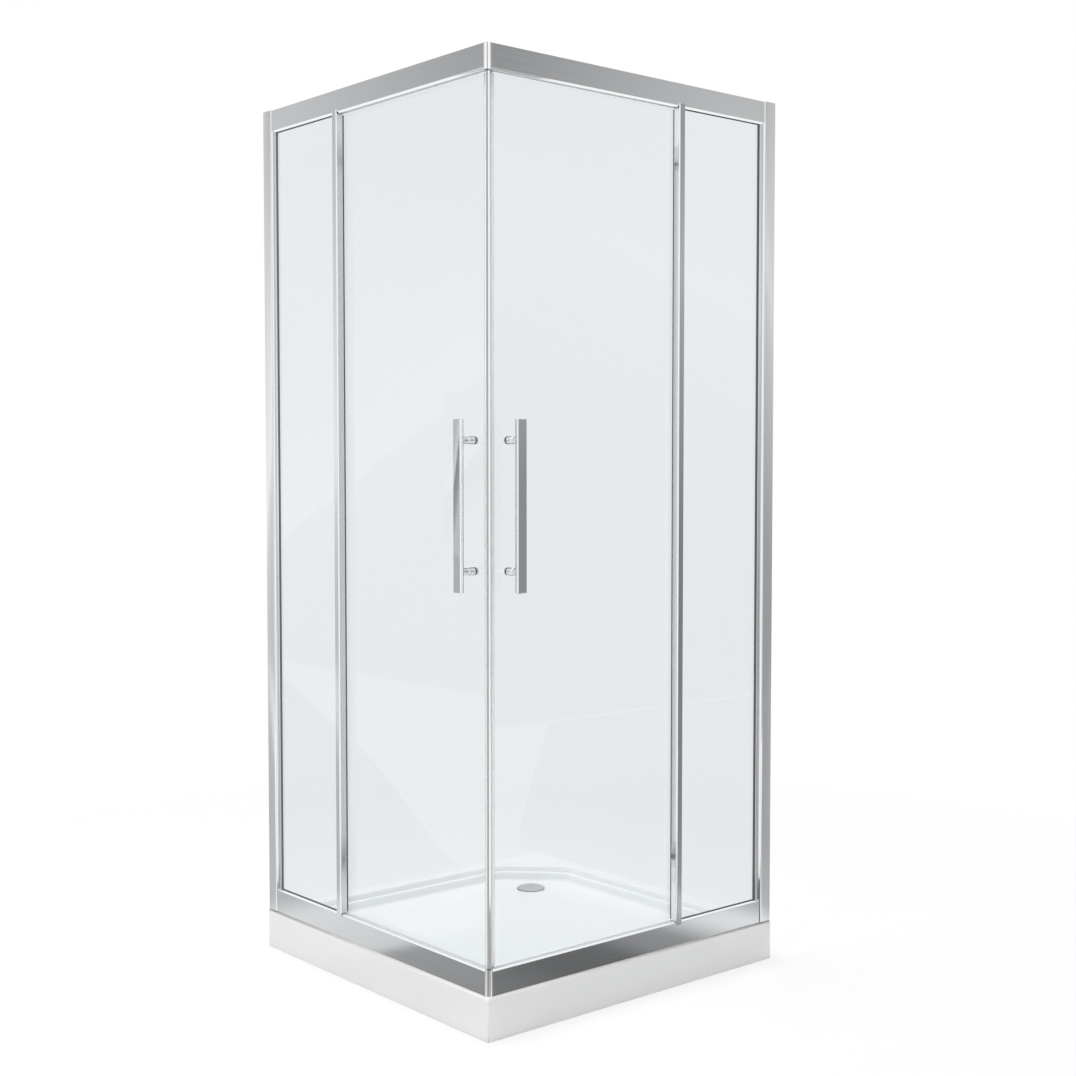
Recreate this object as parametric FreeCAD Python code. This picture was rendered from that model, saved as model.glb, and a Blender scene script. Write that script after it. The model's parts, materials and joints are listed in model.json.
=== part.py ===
import FreeCAD, Part
import math
import os

# A corner shower enclosure: a square tray stands in the corner of a room, and two glazed sides
# meet at its free corner. Each side has a fixed panel by the wall and a door that slides behind it.
# Lengths are in mm. +Z is up, the room walls are at -X and +Y, and the entry corner is at +X -Y.
# Everything is drawn for the left side, which faces -Y, and mirrored to the right side, which
# faces +X. A depth is measured inward from the outer side of the tray.

# Tray
TRAY_SIDE = 900.0
TRAY_HEIGHT = 96.0
TRAY_CORNER_RADIUS = 4.0
TRAY_EDGE_RADIUS = 7.0
SKIRT_THICKNESS = 6.0
RIM_THICKNESS = 5.0
FRONT_RIM = 62.0
WALL_RIM = 37.0
BASIN_DEPTH = 37.0
BASIN_SLOPE = 22.0
BASIN_CHAMFER = 143.0
BASIN_CORNER_RADIUS = 40.0
BASIN_CHAMFER_RADIUS = 60.0
BASIN_RIM_RADIUS = 6.0
BASIN_FLOOR_RADIUS = 10.0
LEDGE_DROP = 15.0
LEDGE_INSET = 7.0
LEDGE_WIDTH = 8.0
LEDGE_RADIUS = 3.0
FLOOR_FALL = 6.0
SHELL_FLOOR = 8.0
FALL_SHARE = 0.12
HALF = TRAY_SIDE / 2
FLOOR_EDGE_Z = TRAY_HEIGHT - BASIN_DEPTH
LEDGE_Z = TRAY_HEIGHT - LEDGE_DROP
DRAIN_Z = FLOOR_EDGE_Z - FLOOR_FALL
SHELL_UNDERSIDE_Z = DRAIN_Z - SHELL_FLOOR

# Waste outlet in the tray floor
DRAIN_FROM_WALL = 163.0
FLANGE_RADIUS = 39.0
FLANGE_THICKNESS = 3.0
FLANGE_SEAT_CLEARANCE = 0.5
SLEEVE_RADIUS = 29.5
SLEEVE_WALL = 2.5
SLEEVE_LENGTH = 25.0
SLEEVE_HOLE_CLEARANCE = 1.5
THREAD_CLEARANCE = 0.1
WASTE_GASKET_RADIUS = 39.0
WASTE_GASKET_THICKNESS = 3.0
NUT_RADIUS = 42.0
NUT_HEIGHT = 7.0
NUT_LUGS = 6
NUT_LUG_RADIUS = 4.0
CUP_WALL = 4.0
CUP_HEIGHT = 10.0
CUP_FLOOR = 2.5
SPIGOT_RADIUS = 20.0
SPIGOT_WALL = 2.0
SPIGOT_FLOOR_GAP = 1.0
COVER_RADIUS = 37.5
COVER_THICKNESS = 1.8
COVER_EDGE_BEVEL = 1.0
COVER_LIFT = 0.7
COVER_FEET = 3
COVER_FOOT_RADIUS = 3.0
COVER_FOOT_CIRCLE = 33.0
COVER_HUB_RADIUS = 24.0
COVER_HUB_WALL = 2.0
COVER_HUB_DEPTH = 12.0
POCKET_RADIUS = 80.0
DRAIN_X = -HALF + DRAIN_FROM_WALL
DRAIN_Y = HALF - DRAIN_FROM_WALL

# Frame: heights of the rails and the depth at which each layer stands
ENCLOSURE_HEIGHT = 2014.0
FRAME_SETBACK = 5.0
RAIL_DEPTH = 44.0
RAIL_WALL = 2.0
RAIL_EDGE_RADIUS = 1.5
BOTTOM_RAIL_FACE = 53.5
BOTTOM_LIP = 3.5
TOP_RAIL_FACE = 51.0
TOP_LIP = 4.5
LIP_STEP = 4.0
GLASS_THICKNESS = 6.0
GASKET_THICKNESS = 1.5
GROOVE_DEPTH_BOTTOM = 18.0
GROOVE_DEPTH_TOP = 16.0
DOOR_CLEARANCE = 4.0
TOP_Z = TRAY_HEIGHT + ENCLOSURE_HEIGHT
BOTTOM_FACE_Z = TRAY_HEIGHT + BOTTOM_RAIL_FACE
BOTTOM_LIP_Z = BOTTOM_FACE_Z + BOTTOM_LIP
TOP_FACE_Z = TOP_Z - TOP_RAIL_FACE
TOP_LIP_Z = TOP_FACE_Z - TOP_LIP
GROOVE_FLOOR_Z = BOTTOM_LIP_Z - GROOVE_DEPTH_BOTTOM
GROOVE_ROOF_Z = TOP_LIP_Z + GROOVE_DEPTH_TOP
RAIL_INNER = FRAME_SETBACK + RAIL_DEPTH
OUTER_LIP = FRAME_SETBACK + LIP_STEP
GROOVE_OUTER = OUTER_LIP + RAIL_WALL
FIXED_GLASS_OUTER = GROOVE_OUTER + GASKET_THICKNESS
FIXED_GLASS_INNER = FIXED_GLASS_OUTER + GLASS_THICKNESS
GROOVE_INNER = FIXED_GLASS_INNER + GASKET_THICKNESS
INNER_LIP = GROOVE_INNER + RAIL_WALL
DOOR_OUTER = INNER_LIP + DOOR_CLEARANCE
DOOR_INNER = DOOR_OUTER + GLASS_THICKNESS

# Tracks inside the rails that the wheels of the doors run on
TOP_TRACK_BELOW_FACE = 41.0
TOP_TRACK_REACH = 12.0
TRACK_RIB_WIDTH = 2.0
TOP_RIB_HEIGHT = 6.0
TOP_WHEEL_FROM_INNER = 9.0
BOTTOM_RIB_HEIGHT = 9.0
BOTTOM_WHEEL_FROM_INNER = 8.0
BOTTOM_BACK_HEIGHT = 17.0
TOP_WHEEL_DEPTH = RAIL_INNER - TOP_WHEEL_FROM_INNER
BOTTOM_WHEEL_DEPTH = RAIL_INNER - BOTTOM_WHEEL_FROM_INNER
TOP_TRACK_Z = TOP_Z - TOP_TRACK_BELOW_FACE
TOP_RIB_Z = TOP_TRACK_Z + TOP_RIB_HEIGHT
BOTTOM_RIB_Z = TRAY_HEIGHT + RAIL_WALL + BOTTOM_RIB_HEIGHT

# Wall channel screwed to the room wall, and the post that slides in it to take up its error
CHANNEL_FACE = 34.0
CHANNEL_PROUD = 2.5
CHANNEL_BASE = 3.0
CHANNEL_BEVEL = 3.5
CHANNEL_LAND = 0.4
CHANNEL_EDGE_RADIUS = 1.0
WALL_HOLE_RADIUS = 2.75
WALL_HOLE_FROM_OUTER = 10.0
WALL_HOLES = 4
WALL_HOLE_END = 150.0
POST_REACH = 36.0
POST_START = 10.0
POST_CLEARANCE = 0.3
POST_BEVEL = 2.0
POST_LIP_BEVEL = 0.6
POCKET_REACH = 11.5
POCKET_INNER_REACH = 3.0
POCKET_DEPTH = 10.0
SCREW_RADIUS = 1.9
SCREW_HOLE_RADIUS = 2.0
SCREW_HEAD_RADIUS = 4.5
SCREW_HEAD_HEIGHT = 2.4
SCREW_LENGTH = 9.0
SCREW_FROM_WALL = 19.0
SCREW_COUNT = 3
SCREW_END = 205.0
WALL_HOLE_DEPTH = FRAME_SETBACK + WALL_HOLE_FROM_OUTER
POST_X = -HALF + POST_REACH
POCKET_X = POST_X + POCKET_REACH
POCKET_INNER_X = POST_X + POCKET_INNER_REACH
POCKET_FLOOR_X = POST_X - POCKET_DEPTH
POST_INNER = INNER_LIP + RAIL_WALL
CHANNEL_INNER = POST_INNER + POST_CLEARANCE + RAIL_WALL

# Fixed panel: glass, its edge rubber, and the stile on its free edge
PANEL_REACH = 329.0
STILE_WIDTH = 18.0
STILE_PROUD = 2.0
STILE_LAP = 5.0
STILE_EDGE_RADIUS = 1.2
STILE_NOSE_RADIUS = 3.0
STILE_INNER_LEG = 1.5
STILE_POCKET = 12.0
STILE_END_GAP = 0.3
GLASS_EDGE_GAP = 3.0
GASKET_SHOW = 1.0
GASKET_POST_SHOW = 6.0
GASKET_END_GAP = 0.5
WIPER_WIDTH = 3.0
WIPER_GAP = 0.3
SEAL_END_GAP = 2.0
STILE_FRONT_X = -HALF + PANEL_REACH
STILE_REAR_X = STILE_FRONT_X - STILE_WIDTH
STILE_INNER = GROOVE_INNER + STILE_INNER_LEG
SEAL_LOW_Z = BOTTOM_LIP_Z + SEAL_END_GAP
SEAL_HIGH_Z = TOP_LIP_Z - SEAL_END_GAP
INFILL_DROP = 1.0
INFILL_HEIGHT = 5.0

# Corner joints of the rails
CONNECTOR_REACH = 17.0
CONNECTOR_NOSE = 8.0
CONNECTOR_RADIUS = 5.0
NOSE_GROOVE_HALF_WIDTH = 0.9
NOSE_GROOVE_DEPTH = 1.0
CONNECTOR_SEAM_RADIUS = 0.8
TENON_LENGTH = 24.0
TENON_CLEARANCE = 0.2
CONNECTOR_X = HALF - CONNECTOR_REACH

# Sliding door
DOOR_OVERLAP = 20.0
DOOR_FRONT_GAP = 36.0
DOOR_BOTTOM_GAP = 9.0
DOOR_TOP_GAP = 11.0
ROLLER_FROM_EDGE = 70.0
DOOR_REAR_X = STILE_FRONT_X - DOOR_OVERLAP
DOOR_FRONT_X = HALF - DOOR_FRONT_GAP
DOOR_LOW_Z = TRAY_HEIGHT + DOOR_BOTTOM_GAP
DOOR_HIGH_Z = TOP_Z - DOOR_TOP_GAP
ROLLER_XS = (DOOR_REAR_X + ROLLER_FROM_EDGE, DOOR_FRONT_X - ROLLER_FROM_EDGE)

# Closing seals: a clip on the front edge of each door carries a magnet that meets the other door's
CLIP_COVER = 3.0
CLIP_WALL = 2.0
CLIP_END = 2.5
MAGNET_FROM_CORNER = 12.0
MAGNET_LENGTH = 12.0
MAGNET_THICKNESS = 3.2
MAGNET_GAP = 0.25
SEAL_BACK = 1.3
REAR_CLIP_COVER = 4.0
REAR_CLIP_END = 8.0
REAR_FIN_WIDTH = 4.0
REAR_FIN_GAP = 0.7
MAGNET_OUTER = HALF - MAGNET_FROM_CORNER

# Door handle
HANDLE_FROM_CORNER = 80.0
HANDLE_RISE = 1048.0
HANDLE_LENGTH = 371.0
HANDLE_WIDTH = 26.0
HANDLE_THICKNESS = 10.0
HANDLE_EDGE_RADIUS = 1.0
HANDLE_STAND_OFF = 36.0
HANDLE_POST_SPACING = 281.0
HANDLE_POST_RADIUS = 7.5
HANDLE_COLLAR_RADIUS = 8.5
HANDLE_COLLAR_LENGTH = 16.0
HANDLE_STUD_RADIUS = 4.0
HANDLE_HOLE_RADIUS = 4.2
HANDLE_CAP_LENGTH = 5.0
HANDLE_CAP_BEVEL = 1.0
HANDLE_X = HALF - HANDLE_FROM_CORNER
HANDLE_CENTRE_Z = TRAY_HEIGHT + HANDLE_RISE
HANDLE_POST_ZS = (HANDLE_CENTRE_Z - HANDLE_POST_SPACING / 2, HANDLE_CENTRE_Z + HANDLE_POST_SPACING / 2)

# Wheels and the bolts and brackets that hold them on the door glass
RUN_GAP = 0.3
BORE_CLEARANCE = 0.06
WHEEL_GROOVE_WIDTH = 3.0
WHEEL_GROOVE_SLANT = 0.3
TOP_WHEEL_RADIUS = 11.5
TOP_GROOVE_RADIUS = 10.0
TOP_WHEEL_WIDTH = 7.0
TOP_AXLE_RADIUS = 3.0
BOLT_CAP_RADIUS = 8.0
BOLT_CAP_THICKNESS = 2.5
BUSH_RADIUS = 5.4
BUSH_HOLE_RADIUS = 5.5
WASHER_RADIUS = 6.0
WASHER_GAP = 0.7
AXLE_HEAD_RADIUS = 5.0
AXLE_HEAD_GAP = 0.5
AXLE_HEAD_THICKNESS = 1.6
BOTTOM_WHEEL_RADIUS = 9.5
BOTTOM_GROOVE_RADIUS = 8.0
BOTTOM_WHEEL_WIDTH = 6.0
BOTTOM_AXLE_RADIUS = 2.5
BRACKET_BOLT_RISE = 28.0
BRACKET_WIDTH = 30.0
BRACKET_RISE = 8.0
BRACKET_HEIGHT = 30.0
BRACKET_PLATE = 2.0
CHEEK_THICKNESS = 2.8
CHEEK_DEPTH = 7.0
CHEEK_LIP = 1.7
CHEEK_LIP_THICKNESS = 1.2
CHEEK_LIP_RISE = 21.0
CHEEK_LIP_HEIGHT = 8.0
RELEASE_CLEARANCE = 0.3
RELEASE_PLATE = 2.2
RELEASE_RISE = 5.0
RELEASE_HEIGHT = 31.0
TAB_WIDTH = 18.0
TAB_RISE = 25.0
TAB_HEIGHT = 12.0
TAB_DEPTH = 6.5
TAB_BEVEL = 1.0
BOTTOM_HEAD_RADIUS = 4.0
TOP_AXLE_Z = TOP_RIB_Z + TOP_GROOVE_RADIUS + RUN_GAP
BOTTOM_AXLE_Z = BOTTOM_RIB_Z + BOTTOM_GROOVE_RADIUS + RUN_GAP
BRACKET_BOLT_Z = DOOR_LOW_Z + BRACKET_BOLT_RISE
BRACKET_LOW_Z = DOOR_LOW_Z + BRACKET_RISE
BRACKET_HIGH_Z = BRACKET_LOW_Z + BRACKET_HEIGHT
CHEEK_LIP_LOW_Z = DOOR_LOW_Z + CHEEK_LIP_RISE
CHEEK_LIP_HIGH_Z = CHEEK_LIP_LOW_Z + CHEEK_LIP_HEIGHT
RELEASE_LOW_Z = DOOR_LOW_Z + RELEASE_RISE
RELEASE_HIGH_Z = RELEASE_LOW_Z + RELEASE_HEIGHT
TAB_LOW_Z = DOOR_LOW_Z + TAB_RISE
TAB_HIGH_Z = TAB_LOW_Z + TAB_HEIGHT

# Rubber stops that a door meets when it is fully open
STOP_LENGTH = 21.0
STOP_WIDTH = 11.5
STOP_HEIGHT = 20.0
TOP_STOP_DROP = 13.0
BOTTOM_STOP_RISE = 6.0
STOP_EDGE_RADIUS = 1.5

UP = FreeCAD.Vector(0, 0, 1)
INWARD = FreeCAD.Vector(0, 1, 0)


def in_from_side(depth):
    """Return the y of a place at this depth inward from the left outer side of the tray."""
    return depth - HALF


def rounded_wire(corners, place):
    """Return a closed wire through corners (a, b, radius), with place(a, b) as the point in space."""
    edges = []
    ends = []
    count = len(corners)
    for i in range(count):
        a, b, radius = corners[i]
        before = corners[i - 1]
        after = corners[(i + 1) % count]
        if radius <= 0:
            ends.append((place(a, b), place(a, b)))
            continue
        back = (before[0] - a, before[1] - b)
        ahead = (after[0] - a, after[1] - b)
        back_length = math.hypot(*back)
        ahead_length = math.hypot(*ahead)
        back = (back[0] / back_length, back[1] / back_length)
        ahead = (ahead[0] / ahead_length, ahead[1] / ahead_length)
        half_angle = math.acos(back[0] * ahead[0] + back[1] * ahead[1]) / 2
        cut = radius / math.tan(half_angle)
        middle = (back[0] + ahead[0], back[1] + ahead[1])
        middle_length = math.hypot(*middle)
        reach = radius / math.sin(half_angle) - radius
        start = place(a + back[0] * cut, b + back[1] * cut)
        end = place(a + ahead[0] * cut, b + ahead[1] * cut)
        on_arc = place(a + middle[0] / middle_length * reach, b + middle[1] / middle_length * reach)
        edges.append(Part.Arc(start, on_arc, end).toShape())
        ends.append((start, end))
    for i in range(count):
        start = ends[i][1]
        end = ends[(i + 1) % count][0]
        if start.distanceToPoint(end) > Part.Precision.confusion():
            edges.append(Part.makeLine(start, end))
    return Part.Wire(Part.__sortEdges__(edges))


def sharp(points):
    """Return outline corners without rounding."""
    return [(a, b, 0) for a, b in points]


def along_side(corners, start_x, end_x):
    """Return an extrusion along the left side; corners are (depth, z, radius)."""

    def place(depth, z):
        return FreeCAD.Vector(start_x, in_from_side(depth), z)

    face = Part.Face(rounded_wire(corners, place))
    return face.extrude(FreeCAD.Vector(end_x - start_x, 0, 0))


def upright(corners, low_z, high_z):
    """Return an upright extrusion; corners are (x, depth, radius)."""

    def place(x, depth):
        return FreeCAD.Vector(x, in_from_side(depth), low_z)

    face = Part.Face(rounded_wire(corners, place))
    return face.extrude(FreeCAD.Vector(0, 0, high_z - low_z))


def block(x_range, depth_range, z_range):
    """Return a block on the left side from its ranges of x, depth and z."""
    corner = FreeCAD.Vector(x_range[0], in_from_side(depth_range[0]), z_range[0])
    return Part.makeBox(
        x_range[1] - x_range[0],
        depth_range[1] - depth_range[0],
        z_range[1] - z_range[0],
        corner,
    )


def inward_cylinder(radius, x, z, outer_depth, inner_depth):
    """Return a cylinder whose axis runs inward through the left side."""
    start = FreeCAD.Vector(x, in_from_side(outer_depth), z)
    return Part.makeCylinder(radius, inner_depth - outer_depth, start, INWARD)


def drain_cylinder(radius, low_z, high_z):
    """Return an upright cylinder on the axis of the waste outlet."""
    return Part.makeCylinder(radius, high_z - low_z, FreeCAD.Vector(DRAIN_X, DRAIN_Y, low_z), UP)


def evenly(first, last, count):
    """Return evenly spaced values from first to last."""
    return [first + (last - first) * i / (count - 1) for i in range(count)]


def mirrored(shape):
    """Return the right side's copy of a shape on the left side."""
    return shape.mirror(FreeCAD.Vector(0, 0, 0), FreeCAD.Vector(1, 1, 0))


def save(name, shape):
    """Write one node, or a group of like solids, to its own file."""
    shape.exportStep("parts/" + name + ".step")


def save_pair(name, shape):
    """Write the left and the right copy of a piece."""
    save("left_" + name, shape)
    save("right_" + name, mirrored(shape))


# Tray: a moulded acrylic shell on a foam core, with a basin whose back corner is cut off


def basin_corners(inset):
    """Return the outline of the basin at the rim, moved inward by inset, as (x, y, radius)."""
    front_x = HALF - FRONT_RIM - inset
    back_x = -HALF + WALL_RIM + inset
    leg = BASIN_CHAMFER - inset * (2 - math.sqrt(2))
    corner_radius = BASIN_CORNER_RADIUS - inset
    chamfer_radius = BASIN_CHAMFER_RADIUS - inset
    return [
        (front_x, -front_x, corner_radius),
        (back_x, -front_x, corner_radius),
        (back_x, -back_x - leg, chamfer_radius),
        (back_x + leg, -back_x, chamfer_radius),
        (front_x, -back_x, corner_radius),
    ]


def level_wire(corners, z):
    """Return a level outline through corners (x, y, radius)."""
    return rounded_wire(corners, lambda x, y: FreeCAD.Vector(x, y, z))


def basin_walls(grow, floor_z):
    """Return the sloping space between the rim and the floor, made wider by grow."""
    low = level_wire(basin_corners(BASIN_SLOPE - grow), floor_z)
    high = level_wire(basin_corners(-grow), TRAY_HEIGHT)
    return Part.makeLoft([low, high], True, True)


def basin_space():
    """Return the space inside the basin, whose wall has a narrow ledge part of the way down."""
    rim = level_wire(basin_corners(0), TRAY_HEIGHT)
    ledge_outer = level_wire(basin_corners(LEDGE_INSET), LEDGE_Z)
    ledge_inner = level_wire(basin_corners(LEDGE_INSET + LEDGE_WIDTH), LEDGE_Z)
    floor = level_wire(basin_corners(BASIN_SLOPE), FLOOR_EDGE_Z)
    upper = Part.makeLoft([ledge_outer, rim], True, True)
    lower = Part.makeLoft([floor, ledge_inner], True, True)
    low = (-HALF, -HALF)
    high = (HALF, HALF)
    lower = lower.makeFillet(BASIN_FLOOR_RADIUS, edges_at(lower, FLOOR_EDGE_Z, low, high))
    space = upper.fuse(lower)
    return space.makeFillet(LEDGE_RADIUS, edges_at(space, LEDGE_Z, low, high))


def floor_fall():
    """Return the shallow space below the floor edge, which falls to the waste outlet."""
    outline = basin_corners(BASIN_SLOPE + BASIN_FLOOR_RADIUS)
    small = [
        (
            DRAIN_X + (x - DRAIN_X) * FALL_SHARE,
            DRAIN_Y + (y - DRAIN_Y) * FALL_SHARE,
            radius * FALL_SHARE,
        )
        for x, y, radius in outline
    ]
    return Part.makeLoft([level_wire(small, DRAIN_Z), level_wire(outline, FLOOR_EDGE_Z)], True, True)


def edges_at(shape, z, low, high):
    """Return the edges that lie level at z and between low and high in x and y."""
    tolerance = Part.Precision.confusion() * TRAY_SIDE
    found = []
    for edge in shape.Edges:
        bounds = edge.BoundBox
        level = abs(bounds.ZMin - z) < tolerance and abs(bounds.ZMax - z) < tolerance
        inside_x = bounds.XMin > low[0] - tolerance and bounds.XMax < high[0] + tolerance
        inside_y = bounds.YMin > low[1] - tolerance and bounds.YMax < high[1] + tolerance
        if level and inside_x and inside_y:
            found.append(edge)
    return found


def tray_cavity():
    """Return the space under the shell that the foam core fills."""
    inner = HALF - SKIRT_THICKNESS
    space = Part.makeBox(
        2 * inner,
        2 * inner,
        TRAY_HEIGHT - RIM_THICKNESS,
        FreeCAD.Vector(-inner, -inner, 0),
    )
    return space.cut(basin_walls(SKIRT_THICKNESS, SHELL_UNDERSIDE_Z))


def make_tray():
    front_corner = (HALF, -HALF, TRAY_CORNER_RADIUS)
    outline = [front_corner, (HALF, HALF, 0), (-HALF, HALF, 0), (-HALF, -HALF, 0)]
    outer = Part.Face(level_wire(outline, 0)).extrude(FreeCAD.Vector(0, 0, TRAY_HEIGHT))
    rounded = []
    for edge in outer.Edges:
        bounds = edge.BoundBox
        on_top = bounds.ZMin > TRAY_HEIGHT / 2
        at_left_side = bounds.YMax < -HALF / 2
        at_right_side = bounds.XMin > HALF / 2
        if on_top and (at_left_side or at_right_side):
            rounded.append(edge)
    outer = outer.makeFillet(TRAY_EDGE_RADIUS, rounded)
    low = (-HALF + WALL_RIM, -HALF + FRONT_RIM)
    high = (HALF - FRONT_RIM, HALF - WALL_RIM)
    shell = outer.cut(basin_space())
    shell = shell.makeFillet(BASIN_RIM_RADIUS, edges_at(shell, TRAY_HEIGHT, low, high))
    shell = shell.cut(floor_fall()).cut(tray_cavity())
    seat = drain_cylinder(FLANGE_RADIUS + FLANGE_SEAT_CLEARANCE, DRAIN_Z - FLANGE_THICKNESS, FLOOR_EDGE_Z)
    hole = drain_cylinder(SLEEVE_RADIUS + SLEEVE_HOLE_CLEARANCE, 0, TRAY_HEIGHT)
    save("shower_tray", shell.cut(seat).cut(hole))
    save("tray_core", tray_cavity().cut(drain_cylinder(POCKET_RADIUS, 0, TRAY_HEIGHT)))


# Waste outlet: a steel flange screwed through the floor, with its parts below and a lift-out cover


def make_waste():
    sleeve_low = DRAIN_Z - FLANGE_THICKNESS - SLEEVE_LENGTH
    sleeve_bore = SLEEVE_RADIUS - SLEEVE_WALL
    flange = drain_cylinder(FLANGE_RADIUS, DRAIN_Z - FLANGE_THICKNESS, DRAIN_Z)
    flange = flange.fuse(drain_cylinder(SLEEVE_RADIUS, sleeve_low, DRAIN_Z))
    save("waste_flange", flange.cut(drain_cylinder(sleeve_bore, sleeve_low, DRAIN_Z)))

    gasket_low = SHELL_UNDERSIDE_Z - WASTE_GASKET_THICKNESS
    thread_hole = drain_cylinder(SLEEVE_RADIUS + THREAD_CLEARANCE, 0, TRAY_HEIGHT)
    gasket = drain_cylinder(WASTE_GASKET_RADIUS, gasket_low, SHELL_UNDERSIDE_Z)
    save("waste_gasket", gasket.cut(thread_hole))

    nut_low = gasket_low - NUT_HEIGHT
    nut = drain_cylinder(NUT_RADIUS - NUT_LUG_RADIUS, nut_low, gasket_low)
    for i in range(NUT_LUGS):
        angle = 2 * math.pi * i / NUT_LUGS
        place = FreeCAD.Vector(
            DRAIN_X + (NUT_RADIUS - NUT_LUG_RADIUS) * math.cos(angle),
            DRAIN_Y + (NUT_RADIUS - NUT_LUG_RADIUS) * math.sin(angle),
            nut_low,
        )
        nut = nut.fuse(Part.makeCylinder(NUT_LUG_RADIUS, NUT_HEIGHT, place, UP))
    save("waste_nut", nut.cut(thread_hole).removeSplitter())

    cup_high = sleeve_low + CUP_HEIGHT
    cup_low = sleeve_low - CUP_FLOOR
    body = drain_cylinder(SLEEVE_RADIUS + CUP_WALL, cup_low, cup_high)
    body = body.cut(drain_cylinder(SLEEVE_RADIUS + THREAD_CLEARANCE, sleeve_low, cup_high))
    body = body.fuse(drain_cylinder(SPIGOT_RADIUS, SPIGOT_FLOOR_GAP, cup_low + CUP_FLOOR / 2))
    body = body.cut(drain_cylinder(SPIGOT_RADIUS - SPIGOT_WALL, 0, cup_high))
    save("waste_body", body)

    disc_low = DRAIN_Z + COVER_LIFT
    cover = drain_cylinder(COVER_RADIUS, disc_low, disc_low + COVER_THICKNESS)
    cover = cover.makeChamfer(COVER_EDGE_BEVEL, [cover.Edges[0]])
    hub = drain_cylinder(COVER_HUB_RADIUS, disc_low - COVER_HUB_DEPTH, disc_low)
    hub = hub.cut(drain_cylinder(COVER_HUB_RADIUS - COVER_HUB_WALL, 0, disc_low))
    cover = cover.fuse(hub)
    for i in range(COVER_FEET):
        angle = 2 * math.pi * i / COVER_FEET
        place = FreeCAD.Vector(
            DRAIN_X + COVER_FOOT_CIRCLE * math.cos(angle),
            DRAIN_Y + COVER_FOOT_CIRCLE * math.sin(angle),
            DRAIN_Z,
        )
        cover = cover.fuse(Part.makeCylinder(COVER_FOOT_RADIUS, COVER_LIFT, place, UP))
    save("waste_cover", cover)


# Wall channels and posts, held together by screws on the inner side


def post_screw_places():
    """Return the heights of the screws between a channel and its post."""
    return evenly(TRAY_HEIGHT + SCREW_END, TOP_Z - SCREW_END, SCREW_COUNT)


def make_wall_side():
    wall_x = -HALF
    face_x = wall_x + CHANNEL_FACE
    base_x = wall_x + CHANNEL_BASE
    channel = upright(
        [
            (wall_x, FRAME_SETBACK - CHANNEL_PROUD, 0),
            (face_x - CHANNEL_BEVEL, FRAME_SETBACK - CHANNEL_PROUD, 0),
            (face_x, FRAME_SETBACK - CHANNEL_LAND, 0),
            (face_x, FRAME_SETBACK, 0),
            (base_x, FRAME_SETBACK, 0),
            (base_x, CHANNEL_INNER - RAIL_WALL, 0),
            (face_x, CHANNEL_INNER - RAIL_WALL, 0),
            (face_x, CHANNEL_INNER, CHANNEL_EDGE_RADIUS),
            (wall_x, CHANNEL_INNER, 0),
        ],
        TRAY_HEIGHT,
        TOP_Z,
    )
    for z in evenly(TRAY_HEIGHT + WALL_HOLE_END, TOP_Z - WALL_HOLE_END, WALL_HOLES):
        place = FreeCAD.Vector(wall_x, in_from_side(WALL_HOLE_DEPTH), z)
        along = FreeCAD.Vector(1, 0, 0)
        channel = channel.cut(Part.makeCylinder(WALL_HOLE_RADIUS, CHANNEL_BASE, place, along))

    start_x = wall_x + POST_START
    outer = FRAME_SETBACK + POST_CLEARANCE
    inner = POST_INNER
    post = upright(
        [
            (start_x, outer, 0),
            (POST_X - POST_BEVEL, outer, 0),
            (POST_X, outer + POST_BEVEL, 0),
            (POST_X, inner, 0),
            (start_x, inner, 0),
            (start_x, inner - RAIL_WALL, 0),
            (POST_X - RAIL_WALL, inner - RAIL_WALL, 0),
            (POST_X - RAIL_WALL, outer + RAIL_WALL, 0),
            (start_x, outer + RAIL_WALL, 0),
        ],
        TRAY_HEIGHT,
        TOP_Z,
    )
    pocket_walls = (
        ((POCKET_FLOOR_X - RAIL_WALL, POST_X), (OUTER_LIP, INNER_LIP), (TRAY_HEIGHT, TOP_Z)),
        ((POST_X - RAIL_WALL, POCKET_INNER_X), (GROOVE_INNER, INNER_LIP), (BOTTOM_LIP_Z, TOP_LIP_Z)),
    )
    for x_range, depth_range, z_range in pocket_walls:
        post = post.fuse(block(x_range, depth_range, z_range))
    outer_lip = upright(
        [
            (POST_X - RAIL_WALL, OUTER_LIP, 0),
            (POCKET_X - POST_LIP_BEVEL, OUTER_LIP, 0),
            (POCKET_X, OUTER_LIP + POST_LIP_BEVEL, 0),
            (POCKET_X, GROOVE_OUTER, 0),
            (POST_X - RAIL_WALL, GROOVE_OUTER, 0),
        ],
        BOTTOM_LIP_Z,
        TOP_LIP_Z,
    )
    post = post.fuse(outer_lip)
    pocket = block((POCKET_FLOOR_X, POST_X), (GROOVE_OUTER, GROOVE_INNER), (GROOVE_FLOOR_Z, GROOVE_ROOF_Z))
    post = post.cut(pocket).removeSplitter()

    screw_x = wall_x + SCREW_FROM_WALL
    screws = []
    for z in post_screw_places():
        hole = inward_cylinder(SCREW_HOLE_RADIUS, screw_x, z, GROOVE_INNER, CHANNEL_INNER)
        channel = channel.cut(hole)
        post = post.cut(hole)
        head_inner = CHANNEL_INNER + SCREW_HEAD_HEIGHT
        head = inward_cylinder(SCREW_HEAD_RADIUS, screw_x, z, CHANNEL_INNER, head_inner)
        shank = inward_cylinder(SCREW_RADIUS, screw_x, z, CHANNEL_INNER - SCREW_LENGTH, CHANNEL_INNER)
        screws.append(head.fuse(shank))
    save_pair("wall_channel", channel)
    save_pair("wall_post", post)
    save("post_screws", Part.makeCompound(screws + [mirrored(screw) for screw in screws]))


# Rails: hollow extrusions with a groove for the fixed glass and a track for the doors


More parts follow.
